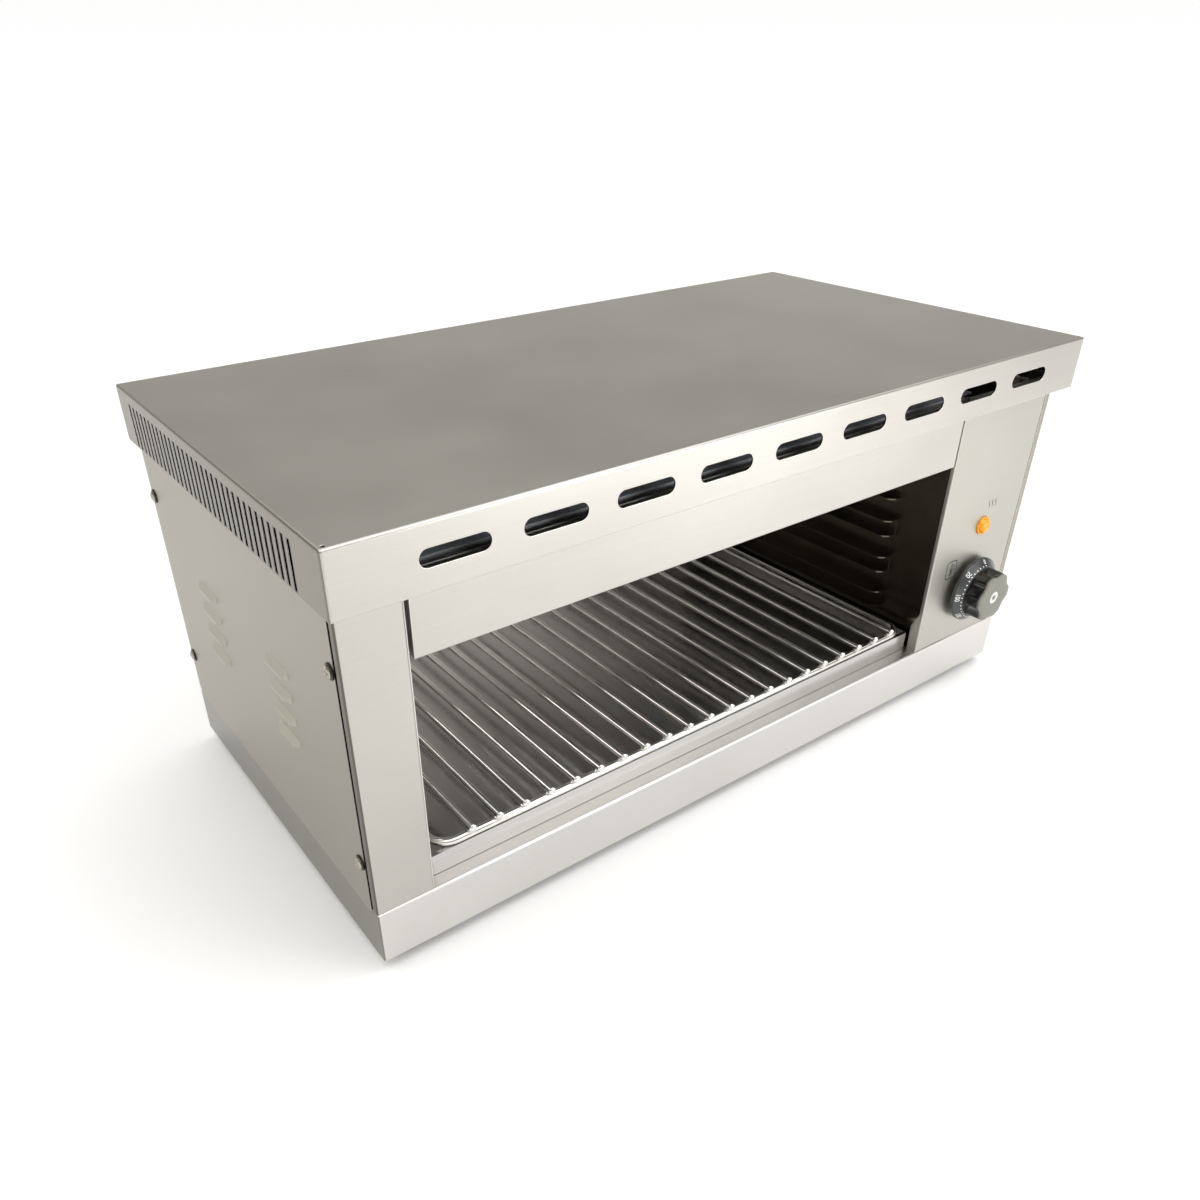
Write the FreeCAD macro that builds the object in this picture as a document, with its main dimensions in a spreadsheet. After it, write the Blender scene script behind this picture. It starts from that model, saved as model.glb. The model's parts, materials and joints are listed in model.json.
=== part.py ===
import FreeCAD, Part
import math
import os
import Sketcher

# Countertop cheese melter: a grill chamber open at the front under a slotted canopy, with the
# electrics in a compartment behind the control panel at its right.
# Millimetres, +Z up, +X to the right seen from the front, which faces -Y. The origin is on the
# bench, under the centre of the whole outline.

doc = FreeCAD.newDocument("CheeseMelter")

# Driving dimensions. Places are worked out from them below.
SIZES = [
    ("overall_width", "600"),
    ("overall_height", "280"),
    ("canopy_depth", "310"),
    ("skirt_height", "36"),
    ("sheet", "1"),
    ("bend_radius", "1.6"),
    ("fit_gap", "0.3"),
    ("running_gap", "0.05"),
    ("overrun", "2"),
    ("side_overhang", "5.7"),
    ("front_overhang", "12"),
    ("frame_overlap", "8.7"),
    # canopy
    ("front_hem", "8"),
    ("side_hem", "3.5"),
    ("slot_length", "40"),
    ("slot_width", "10"),
    ("slot_pitch", "58.7"),
    ("slot_margin", "40"),
    ("slot_shift", "2"),
    ("slot_rise", "17.6"),
    ("vent_width", "3"),
    ("vent_height", "27"),
    ("vent_pitch", "7.78"),
    ("vent_start", "36"),
    ("vent_margin", "22"),
    ("vent_rise", "1.6"),
    ("relief_radius", "1.3"),
    ("relief_inset", "3.6"),
    # plinth and feet
    ("plinth_height", "37"),
    ("plinth_proud", "1"),
    ("plinth_flange", "42"),
    ("cover_lap", "3"),
    ("foot_height", "9"),
    ("foot_top_radius", "9"),
    ("foot_base_radius", "8"),
    ("foot_bore_radius", "4.6"),
    ("foot_bore_depth", "5"),
    ("foot_inset_x", "30"),
    ("foot_inset_y", "18"),
    # front post, fascia and control panel
    ("post_width", "37.2"),
    ("post_side", "5.5"),
    ("post_flange", "24"),
    ("post_return", "12"),
    ("fascia_height", "50.1"),
    ("fascia_gap", "2.8"),
    ("fascia_ledge", "20"),
    ("fascia_top_flange", "12"),
    ("fascia_end_flange", "6"),
    ("panel_width", "100"),
    ("panel_gap", "0.5"),
    ("panel_return", "3"),
    ("panel_step", "6"),
    ("panel_flange", "24"),
    ("tab_depth", "8.5"),
    ("tab_height", "33"),
    ("tab_rear_height", "21"),
    ("cover_strip", "5.3"),
    # side covers and back panel
    ("cover_set_back", "6.8"),
    ("cover_screw_front", "12.7"),
    ("cover_screw_rear", "6"),
    ("cover_screw_low", "32"),
    ("cover_screw_drop", "48.2"),
    ("louvre_length", "31"),
    ("louvre_height", "5.4"),
    ("louvre_depth", "2.4"),
    ("louvre_wall", "0.7"),
    ("louvre_lip", "0.9"),
    ("louvre_taper", "4"),
    ("louvre_pitch", "15.7"),
    ("louvre_rows", "4"),
    ("louvre_low", "73"),
    ("louvre_set_back", "80"),
    ("louvre_group_pitch", "113"),
    ("back_return", "25"),
    ("back_slot_width", "4"),
    ("back_slot_height", "34"),
    ("back_slot_pitch", "11"),
    ("back_slot_count", "8"),
    ("back_slot_inset", "28"),
    ("back_slot_rise", "120"),
    # chamber
    ("wall_set_back", "2"),
    ("rear_space", "22"),
    ("runner_height", "13.5"),
    ("runner_width", "11"),
    ("runner_top_gap", "24.1"),
    ("runner_levels", "4"),
    ("runner_low", "26.3"),
    ("runner_set_back", "40"),
    ("runner_rear_gap", "9"),
    ("runner_corner", "8"),
    ("shield_set_back", "6.4"),
    ("shield_side_gap", "1.3"),
    ("shield_overhang", "8"),
    ("shield_lip", "10"),
    ("reflector_drop", "18"),
    ("reflector_flange", "10"),
    ("reflector_set_back", "8"),
    ("bracket_width", "16"),
    ("bracket_inset", "45"),
    ("bracket_side_inset", "94.5"),
    # heating elements
    ("tube_radius", "4"),
    ("tube_drop", "14"),
    ("leg_spacing", "50"),
    ("element_shift", "5.65"),
    ("element_pitch", "100"),
    ("element_left_gap", "20"),
    ("element_stub", "14"),
    ("collar_radius", "8"),
    ("collar_length", "4"),
    ("insulator_radius", "3.5"),
    ("insulator_length", "6"),
    ("stud_radius", "2"),
    ("stud_length", "12"),
    ("strap_width", "12"),
    ("strap_sheet", "1.5"),
    ("strap_inset", "60"),
    ("strap_margin", "12"),
    # drip tray and wire grid
    ("tray_side_gap", "3"),
    ("tray_height", "14.5"),
    ("tray_set_back", "9.5"),
    ("tray_rear_gap", "12"),
    ("tray_hem", "3"),
    ("tray_hem_height", "2"),
    ("wire_radius", "2.5"),
    ("wire_pitch", "19.45"),
    ("wire_start", "25.7"),
    ("wire_margin", "15"),
    ("wire_overhang", "3.5"),
    ("weld_depth", "0.5"),
    ("grid_inset", "4"),
    ("grid_corner", "13"),
    ("rod_inset", "2.2"),
    # thermostat and knob
    ("knob_inset", "53.5"),
    ("knob_rise", "43.5"),
    ("dial_gap", "4.2"),
    ("dial_rim", "3"),
    ("dial_bevel", "4.8"),
    ("dial_radius", "26.8"),
    ("dial_top_radius", "21.3"),
    ("hub_radius", "8"),
    ("grip_radius", "20.5"),
    ("grip_height", "11.8"),
    ("flute_radius", "14"),
    ("flute_reach", "31.5"),
    ("flute_count", "6"),
    ("face_height", "1.2"),
    ("insert_radius", "5"),
    ("insert_proud", "0.3"),
    ("spindle_radius", "3"),
    ("spindle_flat", "0.6"),
    ("spindle_seat", "8"),
    ("spindle_grip", "16"),
    ("thermostat_width", "36"),
    ("thermostat_height", "40"),
    ("thermostat_depth", "26"),
    ("tab_blade_width", "6.3"),
    ("tab_blade_length", "9"),
    ("thermostat_screw_pitch", "28"),
    ("small_screw_radius", "1.9"),
    ("small_head_radius", "3.6"),
    ("small_screw_length", "8"),
    ("bulb_radius", "3"),
    ("bulb_length", "90"),
    ("bulb_drop", "55.7"),
    ("bulb_set_back", "128"),
    ("clip_width", "8"),
    ("clip_length", "6"),
    ("capillary_radius", "0.9"),
    ("capillary_bend", "18"),
    ("capillary_hole_radius", "2.7"),
    # indicator lamp
    ("lamp_inset", "55"),
    ("lamp_rise", "96.6"),
    ("lamp_flange_radius", "7.5"),
    ("lamp_flange_height", "1.5"),
    ("lens_radius", "6.8"),
    ("lens_waist_radius", "5.6"),
    ("lens_tip_radius", "2.5"),
    ("lens_base_height", "3.5"),
    ("lens_tip_height", "2.5"),
    ("lamp_barrel_radius", "5"),
    ("lamp_barrel_length", "28"),
    ("lamp_nut_radius", "8"),
    ("lamp_nut_height", "3"),
    # wiring
    ("block_length", "44"),
    ("block_width", "24"),
    ("block_height", "20"),
    ("block_poles", "3"),
    ("block_rear_gap", "48"),
    ("block_screw_radius", "2.2"),
    ("block_screw_height", "1.5"),
    ("lead_radius", "1.5"),
    ("lamp_lead_radius", "1.1"),
    ("lead_reach", "26"),
    ("short_reach", "20"),
    ("lead_bow", "20"),
    ("cap_radius", "3.2"),
    ("cap_length", "16"),
    ("cap_inset", "20.3"),
    ("cap_pitch", "12"),
    ("cap_step", "3.5"),
    ("cap_depth", "12"),
    ("gland_inset", "50"),
    ("gland_rise", "34"),
    ("gland_bore_radius", "4.5"),
    ("gland_thread_radius", "8"),
    ("gland_hex_radius", "11"),
    ("gland_hex_height", "6"),
    ("gland_nose_radius", "7"),
    ("gland_nose_height", "7"),
    ("gland_thread_length", "12"),
    ("gland_nut_height", "4"),
    ("earth_inset", "86"),
    ("earth_radius", "3"),
    ("earth_neck_radius", "2.5"),
    ("earth_neck_length", "0.8"),
    ("earth_tip_length", "6"),
    ("earth_hex_radius", "5.8"),
    ("earth_head_height", "4"),
    ("earth_nut_height", "5"),
    # screws
    ("screw_radius", "2"),
    ("screw_length", "10"),
    ("head_radius", "4.5"),
    ("head_height", "3"),
    ("head_crown_radius", "3.2"),
    ("cross_width", "1.1"),
    ("cross_length", "5.4"),
    ("cross_depth", "1.6"),
    ("washer_radius", "6.3"),
    ("washer_height", "1"),
    ("hole_clearance", "0.3"),
    ("thread_clearance", "0.1"),
    ("canopy_screw_rise", "4.5"),
    ("canopy_screw_inset", "80"),
]

sheet = doc.addObject("Spreadsheet::Sheet", "Sizes")
for row, (alias, value) in enumerate(SIZES, start=1):
    sheet.set("A%d" % row, alias)
    sheet.set("B%d" % row, value)
    sheet.setAlias("B%d" % row, alias)
doc.recompute()


class Size:
    """A size that knows its value and the sheet expression that gives it."""

    def __init__(self, text, value):
        self.text = text
        self.value = value

    def __add__(self, other):
        other = as_size(other)
        return Size("(%s + %s)" % (self.text, other.text), self.value + other.value)

    def __sub__(self, other):
        other = as_size(other)
        return Size("(%s - %s)" % (self.text, other.text), self.value - other.value)

    def __mul__(self, factor):
        return Size("(%s * %r)" % (self.text, factor), self.value * factor)

    def __truediv__(self, factor):
        return Size("(%s / %r)" % (self.text, factor), self.value / factor)

    def __neg__(self):
        return Size("(0 - %s)" % self.text, -self.value)


def as_size(value):
    return value if isinstance(value, Size) else Size(repr(value), float(value))


def size(alias):
    return Size("Sizes." + alias, float(sheet.get(alias)))


def count(alias):
    return int(round(float(sheet.get(alias))))


def copies(room, pitch):
    """How many copies of a feature fit in a length at a pitch."""
    return int(room.value / pitch.value) + 1


def bind(item, prop, value):
    item.setExpression(prop, as_size(value).text)


def place(item, at):
    for axis, value in zip("xyz", at):
        bind(item, "Placement.Base." + axis, value)


# Two places are one when they lie closer than this share of the overall width.
TOLERANCE_SHARE = 1e-8

# Every sub-part, in the order they are made, and every cut that has to take something away.
PIECES = []
CUTS = []

TURNS = {
    "x": FreeCAD.Rotation(FreeCAD.Vector(0, 1, 0), 90),
    "y": FreeCAD.Rotation(FreeCAD.Vector(1, 0, 0), -90),
    "z": FreeCAD.Rotation(),
    "-x": FreeCAD.Rotation(FreeCAD.Vector(0, 1, 0), -90),
    "-y": FreeCAD.Rotation(FreeCAD.Vector(1, 0, 0), 90),
    "-z": FreeCAD.Rotation(FreeCAD.Vector(1, 0, 0), 180),
}


def solid(kind, name, at, axis="z", **sizes):
    """A Part primitive whose own Z axis points along the given axis."""
    item = doc.addObject("Part::" + kind, name)
    item.Placement = FreeCAD.Placement(FreeCAD.Vector(), TURNS[axis])
    for prop, value in sizes.items():
        bind(item, prop, value)
    place(item, at)
    return item


def block(name, low, high):
    """A box between its lowest and highest corners."""
    return solid("Box", name, low, Length=high[0] - low[0], Width=high[1] - low[1],
                 Height=high[2] - low[2])


def cylinder(name, at, axis, radius, height):
    return solid("Cylinder", name, at, axis, Radius=radius, Height=height)


def cone(name, at, axis, radius, top_radius, height):
    return solid("Cone", name, at, axis, Radius1=radius, Radius2=top_radius, Height=height)


def hexagon(name, at, axis, radius, height):
    return solid("Prism", name, at, axis, Circumradius=radius, Height=height)


def fused(name, parts):
    item = doc.addObject("Part::MultiFuse", name)
    item.Shapes = parts
    return item


def group(name, parts):
    """Separate solids kept together."""
    item = doc.addObject("Part::Compound", name)
    item.Links = parts
    return item


def cut(name, base, tools):
    item = doc.addObject("Part::Cut", name)
    item.Base = base
    item.Tool = tools[0] if len(tools) == 1 else group(name + "_tools", tools)
    CUTS.append((item, base))
    return item


def piece(label, item):
    item.Label = label
    PIECES.append(item)
    return item


def new_body(label, at):
    body = doc.addObject("PartDesign::Body", label)
    place(body, at)
    return piece(label, body)


def origin_part(body, role):
    return [part for part in body.Origin.OriginFeatures if part.Role == role][0]


def new_sketch(body, plane, name, lift=0):
    """A sketch on one of the body's own planes, lifted along the plane's normal."""
    sketch = body.newObject("Sketcher::SketchObject", name)
    sketch.AttachmentSupport = [(origin_part(body, plane + "_Plane"), "")]
    sketch.MapMode = "FlatFace"
    bind(sketch, "AttachmentOffset.Base.z", lift)
    return sketch


def dimension(sketch, kind, where, value, name):
    value = as_size(value)
    index = sketch.addConstraint(Sketcher.Constraint(kind, *where, value.value))
    sketch.renameConstraint(index, name)
    sketch.setExpression("Constraints." + name, value.text)


def draw_outline(sketch, points):
    """A closed outline of straight lines through points given as sizes."""
    points = [(as_size(u), as_size(v)) for u, v in points]
    first = sketch.GeometryCount
    total = len(points)
    for index, (u, v) in enumerate(points):
        after = points[(index + 1) % total]
        start = FreeCAD.Vector(u.value, v.value, 0)
        end = FreeCAD.Vector(after[0].value, after[1].value, 0)
        sketch.addGeometry(Part.LineSegment(start, end), False)
    for index in range(total):
        line = first + index
        following = first + (index + 1) % total
        sketch.addConstraint(Sketcher.Constraint("Coincident", line, 2, following, 1))
    for index, (u, v) in enumerate(points):
        line = first + index
        dimension(sketch, "DistanceX", (-1, 1, line, 1), u, "u%d" % line)
        dimension(sketch, "DistanceY", (-1, 1, line, 1), v, "v%d" % line)


def draw_rectangle(sketch, u, v, width, height):
    u, v = as_size(u), as_size(v)
    draw_outline(sketch, [(u, v), (u + width, v), (u + width, v + height), (u, v + height)])


def draw_circle(sketch, u, v, radius):
    u, v, radius = as_size(u), as_size(v), as_size(radius)
    centre = FreeCAD.Vector(u.value, v.value, 0)
    line = sketch.addGeometry(Part.Circle(centre, FreeCAD.Vector(0, 0, 1), radius.value), False)
    dimension(sketch, "Radius", (line,), radius, "r%d" % line)
    dimension(sketch, "DistanceX", (-1, 1, line, 3), u, "u%d" % line)
    dimension(sketch, "DistanceY", (-1, 1, line, 3), v, "v%d" % line)


def draw_obround(sketch, u, v, length, width):
    """A slot with round ends, centred at (u, v), long along the sketch's first axis."""
    u, v = as_size(u), as_size(v)
    reach = (length - width) / 2
    radius = width / 2
    left, right = u - reach, u + reach
    up = FreeCAD.Vector(0, 0, 1)
    corners = [FreeCAD.Vector(end.value, v.value + side * radius.value, 0)
               for end, side in ((left, -1), (right, -1), (right, 1), (left, 1))]
    half = math.pi / 2
    sketch.addGeometry(Part.LineSegment(corners[0], corners[1]), False)
    right_circle = Part.Circle(FreeCAD.Vector(right.value, v.value, 0), up, radius.value)
    sketch.addGeometry(Part.ArcOfCircle(right_circle, -half, half), False)
    sketch.addGeometry(Part.LineSegment(corners[2], corners[3]), False)
    left_circle = Part.Circle(FreeCAD.Vector(left.value, v.value, 0), up, radius.value)
    sketch.addGeometry(Part.ArcOfCircle(left_circle, half, 3 * half), False)
    for line in range(4):
        sketch.addConstraint(Sketcher.Constraint("Tangent", line, 2, (line + 1) % 4, 1))
    dimension(sketch, "DistanceX", (-1, 1, 1, 3), right, "right")
    dimension(sketch, "DistanceY", (-1, 1, 1, 3), v, "right_rise")
    dimension(sketch, "DistanceX", (-1, 1, 3, 3), left, "left")
    dimension(sketch, "DistanceY", (-1, 1, 3, 3), v, "left_rise")
    dimension(sketch, "Radius", (1,), radius, "radius")
    sketch.addConstraint(Sketcher.Constraint("Equal", 1, 3))


def pad(body, sketch, length, reverse=False):
    feature = body.newObject("PartDesign::Pad", sketch.Name + "_pad")
    feature.Profile = sketch
    feature.Reversed = reverse
    bind(feature, "Length", length)
    return feature


def pocket(body, sketch, length, reverse=False):
    """A pocket cuts against its sketch plane's normal, or along it when reversed."""
    base = body.Tip
    feature = body.newObject("PartDesign::Pocket", sketch.Name + "_pocket")
    feature.Profile = sketch
    feature.Type = "Length"
    feature.Reversed = reverse
    bind(feature, "Length", length)
    CUTS.append((feature, base))
    return feature


def repeat(body, feature, axis, length, copies):
    pattern = body.newObject("PartDesign::LinearPattern", feature.Name + "_row")
    pattern.Originals = [feature]
    pattern.Direction = (origin_part(body, axis + "_Axis"), [""])
    bind(pattern, "Length", length)
    pattern.Occurrences = copies
    body.Tip = pattern
    CUTS.append((pattern, feature))
    return pattern


def fillet(body, radius, wanted):
    """Rounds those edges of the body's tip for which wanted(edge) is true."""
    doc.recompute()
    base = body.Tip
    names = ["Edge%d" % (index + 1) for index, edge in enumerate(base.Shape.Edges) if wanted(edge)]
    feature = body.newObject("PartDesign::Fillet", base.Name + "_fillet")
    feature.Base = (base, names)
    bind(feature, "Radius", radius)
    return feature


def edge_box(edge):
    box = edge.BoundBox
    return (box.XMin, box.XMax), (box.YMin, box.YMax), (box.ZMin, box.ZMax)


def near(first, second):
    return abs(first - second) <= size("overall_width").value * TOLERANCE_SHARE


def upright_at(edge, places):
    """True for an edge along Z that stands at one of the places in plan."""
    across, along, _ = edge_box(edge)
    if not (near(*across) and near(*along)):
        return False
    return any(near(across[0], u.value) and near(along[0], v.value)
               for u, v in [(as_size(a), as_size(b)) for a, b in places])


# Sizes used in more than one place.
wall = size("sheet")
gap = size("fit_gap")
slack = size("running_gap")
past = size("overrun")
bend = size("bend_radius")
width = size("overall_width")
hole_radius = size("screw_radius") + size("hole_clearance")
thread_radius = size("screw_radius") + size("thread_clearance")

# Datums, worked out from the sizes.
stack = size("dial_gap") + size("dial_rim") + size("dial_bevel") + size("grip_height")
knob_reach = stack + size("face_height") + size("insert_proud")
front_reach = knob_reach - size("front_overhang")
gland_out = size("gland_hex_height") + size("gland_nose_height")
rear_reach = gland_out - wall - gap
canopy_front = (front_reach - rear_reach - size("canopy_depth")) / 2
body_front = canopy_front + size("front_overhang")
back_face = canopy_front + size("canopy_depth") - wall - gap
body_left = size("side_overhang") - width / 2
body_right = width / 2 - size("side_overhang")
body_width = body_right - body_left
deck = size("foot_height") + size("plinth_height")
skirt_bottom = size("overall_height") - size("skirt_height")
frame_top = skirt_bottom + size("frame_overlap")
fascia_bottom = frame_top - size("fascia_height")
post_right = body_left + size("post_width")
panel_right = body_right - size("cover_strip")
panel_left = panel_right - size("panel_width")
chamber_left = post_right + wall
chamber_right = panel_left + wall
chamber_front = body_front + size("wall_set_back")
chamber_back = back_face - size("rear_space")
knob_x = panel_left + size("knob_inset")
knob_z = deck + size("knob_rise")
lamp_x = panel_left + size("lamp_inset")
lamp_z = deck + size("lamp_rise")
canopy_screw_reach = width / 2 - size("canopy_screw_inset")


def make_canopy():
    """Folded cover: slots in its front skirt, upright vents in both side skirts, a hem below."""
    depth, height = size("canopy_depth"), size("skirt_height")
    body = new_body("canopy_cover", (-(width / 2), canopy_front, skirt_bottom))
    shell = new_sketch(body, "XY", "canopy_outline")
    draw_rectangle(shell, 0, 0, width, depth)
    pad(body, shell, height)
    fillet(body, bend, lambda edge: edge_box(edge)[2][1] > wall.value)
    mouth = new_sketch(body, "XY", "canopy_mouth")
    side, front = size("side_hem"), size("front_hem")
    draw_rectangle(mouth, side, front, width - side * 2, depth - front - wall)
    pocket(body, mouth, height - wall, reverse=True)
    hollow = new_sketch(body, "XY", "canopy_hollow", wall)
    draw_rectangle(hollow, wall, wall, width - wall * 2, depth - wall * 2)
    pocket(body, hollow, height - wall * 2, reverse=True)
    slot = new_sketch(body, "XZ", "canopy_slot")
    slots = copies(width - size("slot_margin") * 2 - size("slot_length"), size("slot_pitch"))
    row = size("slot_pitch") * (slots - 1)
    draw_obround(slot, width / 2 - row / 2 + size("slot_shift"), size("slot_rise"),
                 size("slot_length"), size("slot_width"))
    front_slot = pocket(body, slot, wall + past)
    repeat(body, front_slot, "X", row, slots)
    vent = new_sketch(body, "YZ", "canopy_vent")
    draw_rectangle(vent, size("vent_start") - size("vent_width") / 2, size("vent_rise"),
                   size("vent_width"), size("vent_height"))
    side_vent = pocket(body, vent, width, reverse=True)
    vents = copies(depth - size("vent_start") - size("vent_margin"), size("vent_pitch"))
    repeat(body, side_vent, "Y", size("vent_pitch") * (vents - 1), vents)
    relief = new_sketch(body, "XY", "canopy_relief", height)
    inset = size("relief_inset")
    for u in (inset, width - inset):
        draw_circle(relief, u, inset, size("relief_radius"))
    pocket(body, relief, wall + past)
    holes = new_sketch(body, "XZ", "canopy_screw_holes", -depth)
    for step in (-1, 0, 1):
        draw_circle(holes, width / 2 + canopy_screw_reach * step,
                    size("canopy_screw_rise"), hole_radius)
    pocket(body, holes, wall + past, reverse=True)


def make_plinth():
    """Folded base: deck, four skirts, a foot flange below, side edges stepped in for the covers."""
    height, lap = size("plinth_height"), size("cover_lap")
    front = body_front - size("plinth_proud")
    depth = back_face - front
    flange = size("plinth_flange")
    body = new_body("base_plinth", (body_left, front, size("foot_height")))
    shell = new_sketch(body, "XY", "plinth_outline")
    draw_rectangle(shell, 0, 0, body_width, depth)
    pad(body, shell, height)
    fillet(body, bend, lambda edge: upright_at(edge, [(0, 0), (body_width, 0)])
           or (near(edge_box(edge)[1][1], 0) and near(edge_box(edge)[2][0], height.value)))
    mouth = new_sketch(body, "XY", "plinth_mouth")
    draw_rectangle(mouth, flange, flange, body_width - flange * 2, depth - flange * 2)
    pocket(body, mouth, height - wall, reverse=True)
    lower = new_sketch(body, "XY", "plinth_lower_hollow", wall)
    draw_rectangle(lower, wall, wall, body_width - wall * 2, depth - wall * 2)
    pocket(body, lower, height - lap - wall * 2, reverse=True)
    upper = new_sketch(body, "XY", "plinth_upper_hollow", wall)
    draw_rectangle(upper, wall * 2, wall, body_width - wall * 4, depth - wall * 2)
    pocket(body, upper, height - wall * 2, reverse=True)
    step = new_sketch(body, "XZ", "plinth_side_step", -size("plinth_proud") - size("cover_set_back"))
    draw_rectangle(step, -past, height - lap, wall + past, lap + past)
    draw_rectangle(step, body_width - wall, height - lap, wall + past, lap + past)
    pocket(body, step, depth)
    holes = new_sketch(body, "XY", "plinth_foot_holes")
    for u, v in foot_places():
        draw_circle(holes, u - body_left, v - front, thread_radius)
    pocket(body, holes, wall + past, reverse=True)


def foot_places():
    reach_x, reach_y = size("foot_inset_x"), size("foot_inset_y")
    return [(u, v) for v in (body_front + reach_y, back_face - reach_y)
            for u in (body_left + reach_x, body_right - reach_x)]


def make_post():
    """Left front post, folded in plan, its outer return stepped in behind the side cover."""
    wide, side, flange = size("post_width"), size("post_side"), size("post_flange")
    inner = size("post_return")
    body = new_body("left_front_post", (body_left, body_front, deck))
    plan = new_sketch(body, "XY", "post_plan")
    draw_outline(plan, [
        (0, 0), (wide, 0), (wide, inner), (wide - wall, inner), (wide - wall, wall), (wall, wall),
        (wall, side - wall), (wall * 2, side), (wall * 2, flange), (wall, flange),
        (wall, side + wall / 2), (0, side - wall / 2)])
    pad(body, plan, frame_top - deck)
    fillet(body, bend, lambda edge: upright_at(edge, [(0, 0), (wide, 0)]))
    holes = new_sketch(body, "YZ", "post_screw_holes")
    for rise in screw_rises():
        draw_circle(holes, size("cover_screw_front"), rise - deck, thread_radius)
    pocket(body, holes, wall * 2 + past, reverse=True)


def screw_rises():
    return [deck + size("cover_screw_low"), frame_top - size("cover_screw_drop")]


def make_fascia():
    """Front panel under the canopy: ledge below, top flange, and a flange at each end."""
    left = post_right + size("fascia_gap")
    length = panel_left - size("panel_gap") - left
    height = size("fascia_height")
    ledge, top = size("fascia_ledge"), size("fascia_top_flange")
    body = new_body("front_fascia", (left, body_front, fascia_bottom))
    section = new_sketch(body, "YZ", "fascia_section")
    draw_outline(section, [
        (0, 0), (ledge, 0), (ledge, wall), (wall, wall), (wall, height - wall),
        (top, height - wall), (top, height), (0, height)])
    pad(body, section, length)
    fillet(body, bend / 2, lambda edge: near(edge_box(edge)[1][1], 0)
           and near(edge_box(edge)[0][0], 0) and near(edge_box(edge)[0][1], length.value))
    ends = new_sketch(body, "XY", "fascia_ends", bend)
    end = size("fascia_end_flange")
    draw_rectangle(ends, 0, 0, wall, end)
    draw_rectangle(ends, length - wall, 0, wall, end)
    pad(body, ends, height - bend * 2)


def make_control_panel():
    """Panel over the electrics: a shallow return and a slanted tab at its left, a screw flange
    stepped out to the right cover, and holes for the spindle, its screws and the lamp."""
    wide, lip, flange = size("panel_width"), size("panel_return"), size("panel_flange")
    step, strip = size("panel_step"), size("cover_strip")
    out = wide + strip - wall
    body = new_body("control_panel", (panel_left, body_front, deck))
    plan = new_sketch(body, "XY", "panel_plan")
    draw_outline(plan, [
        (0, 0), (wide, 0), (wide, step), (out, step), (out, flange), (out - wall, flange),
        (out - wall, step + wall), (wide - wall, step + wall), (wide - wall, wall), (wall, wall),
        (wall, lip), (0, lip)])
    pad(body, plan, frame_top - deck)
    fillet(body, bend / 2, lambda edge: upright_at(edge, [(0, 0), (wide, 0)]))
    tab = new_sketch(body, "YZ", "panel_tab")
    reach = size("tab_depth")
    draw_outline(tab, [(lip, 0), (reach, 0), (reach, size("tab_rear_height")),
                       (lip, size("tab_height"))])
    pad(body, tab, wall)
    holes = new_sketch(body, "XZ", "panel_holes")
    inset, rise = size("knob_inset"), size("knob_rise")
    draw_circle(holes, inset, rise, size("spindle_radius") + size("hole_clearance"))
    draw_circle(holes, size("lamp_inset"), size("lamp_rise"), size("lamp_barrel_radius") + slack)
    for side in (-1, 1):
        draw_circle(holes, inset + size("thermostat_screw_pitch") * side / 2, rise,
                    size("small_head_radius") + slack)
    pocket(body, holes, wall + past)
    screws = new_sketch(body, "YZ", "panel_screw_holes", out + past)
    for height in screw_rises():
        draw_circle(screws, size("cover_screw_front"), height - deck, thread_radius)
    pocket(body, screws, wall + past * 2)


def louvre(name, face, side, low, front):
    """The outer form and the hollow of one pressed louvre, standing out of a cover's face.

    Both taper from the sheet to a lip at their lower edge, and the hollow opens downwards."""
    long, high = size("louvre_length"), size("louvre_height")
    taper, lip, skin = size("louvre_taper"), size("louvre_lip"), size("louvre_wall")
    parts = []
    for kind, inset, drop in (("form", as_size(0), as_size(0)), ("hollow", skin, skin)):
        form = doc.addObject("Part::Wedge", "%s_%s" % (name, kind))
        turn = FreeCAD.Rotation(FreeCAD.Vector(0, 0, 1), FreeCAD.Vector(side, 0, 0),
                                FreeCAD.Vector(0, side, 0), "XYZ")
        form.Placement = FreeCAD.Placement(FreeCAD.Vector(), turn)
        back = as_size(0) if kind == "form" else -(wall + past)
        for prop, value in (
                ("Xmin", -drop), ("X2min", -drop), ("Xmax", high - inset),
                ("X2max", lip - drop / 2), ("Ymin", back),
                ("Ymax", size("louvre_depth") - drop), ("Zmin", inset), ("Zmax", long - inset),
                ("Z2min", taper + inset), ("Z2max", long - taper - inset)):
            bind(form, prop, value)
        place(form, (face, front if side > 0 else front + long, low))
        parts.append(form)
    return parts


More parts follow.
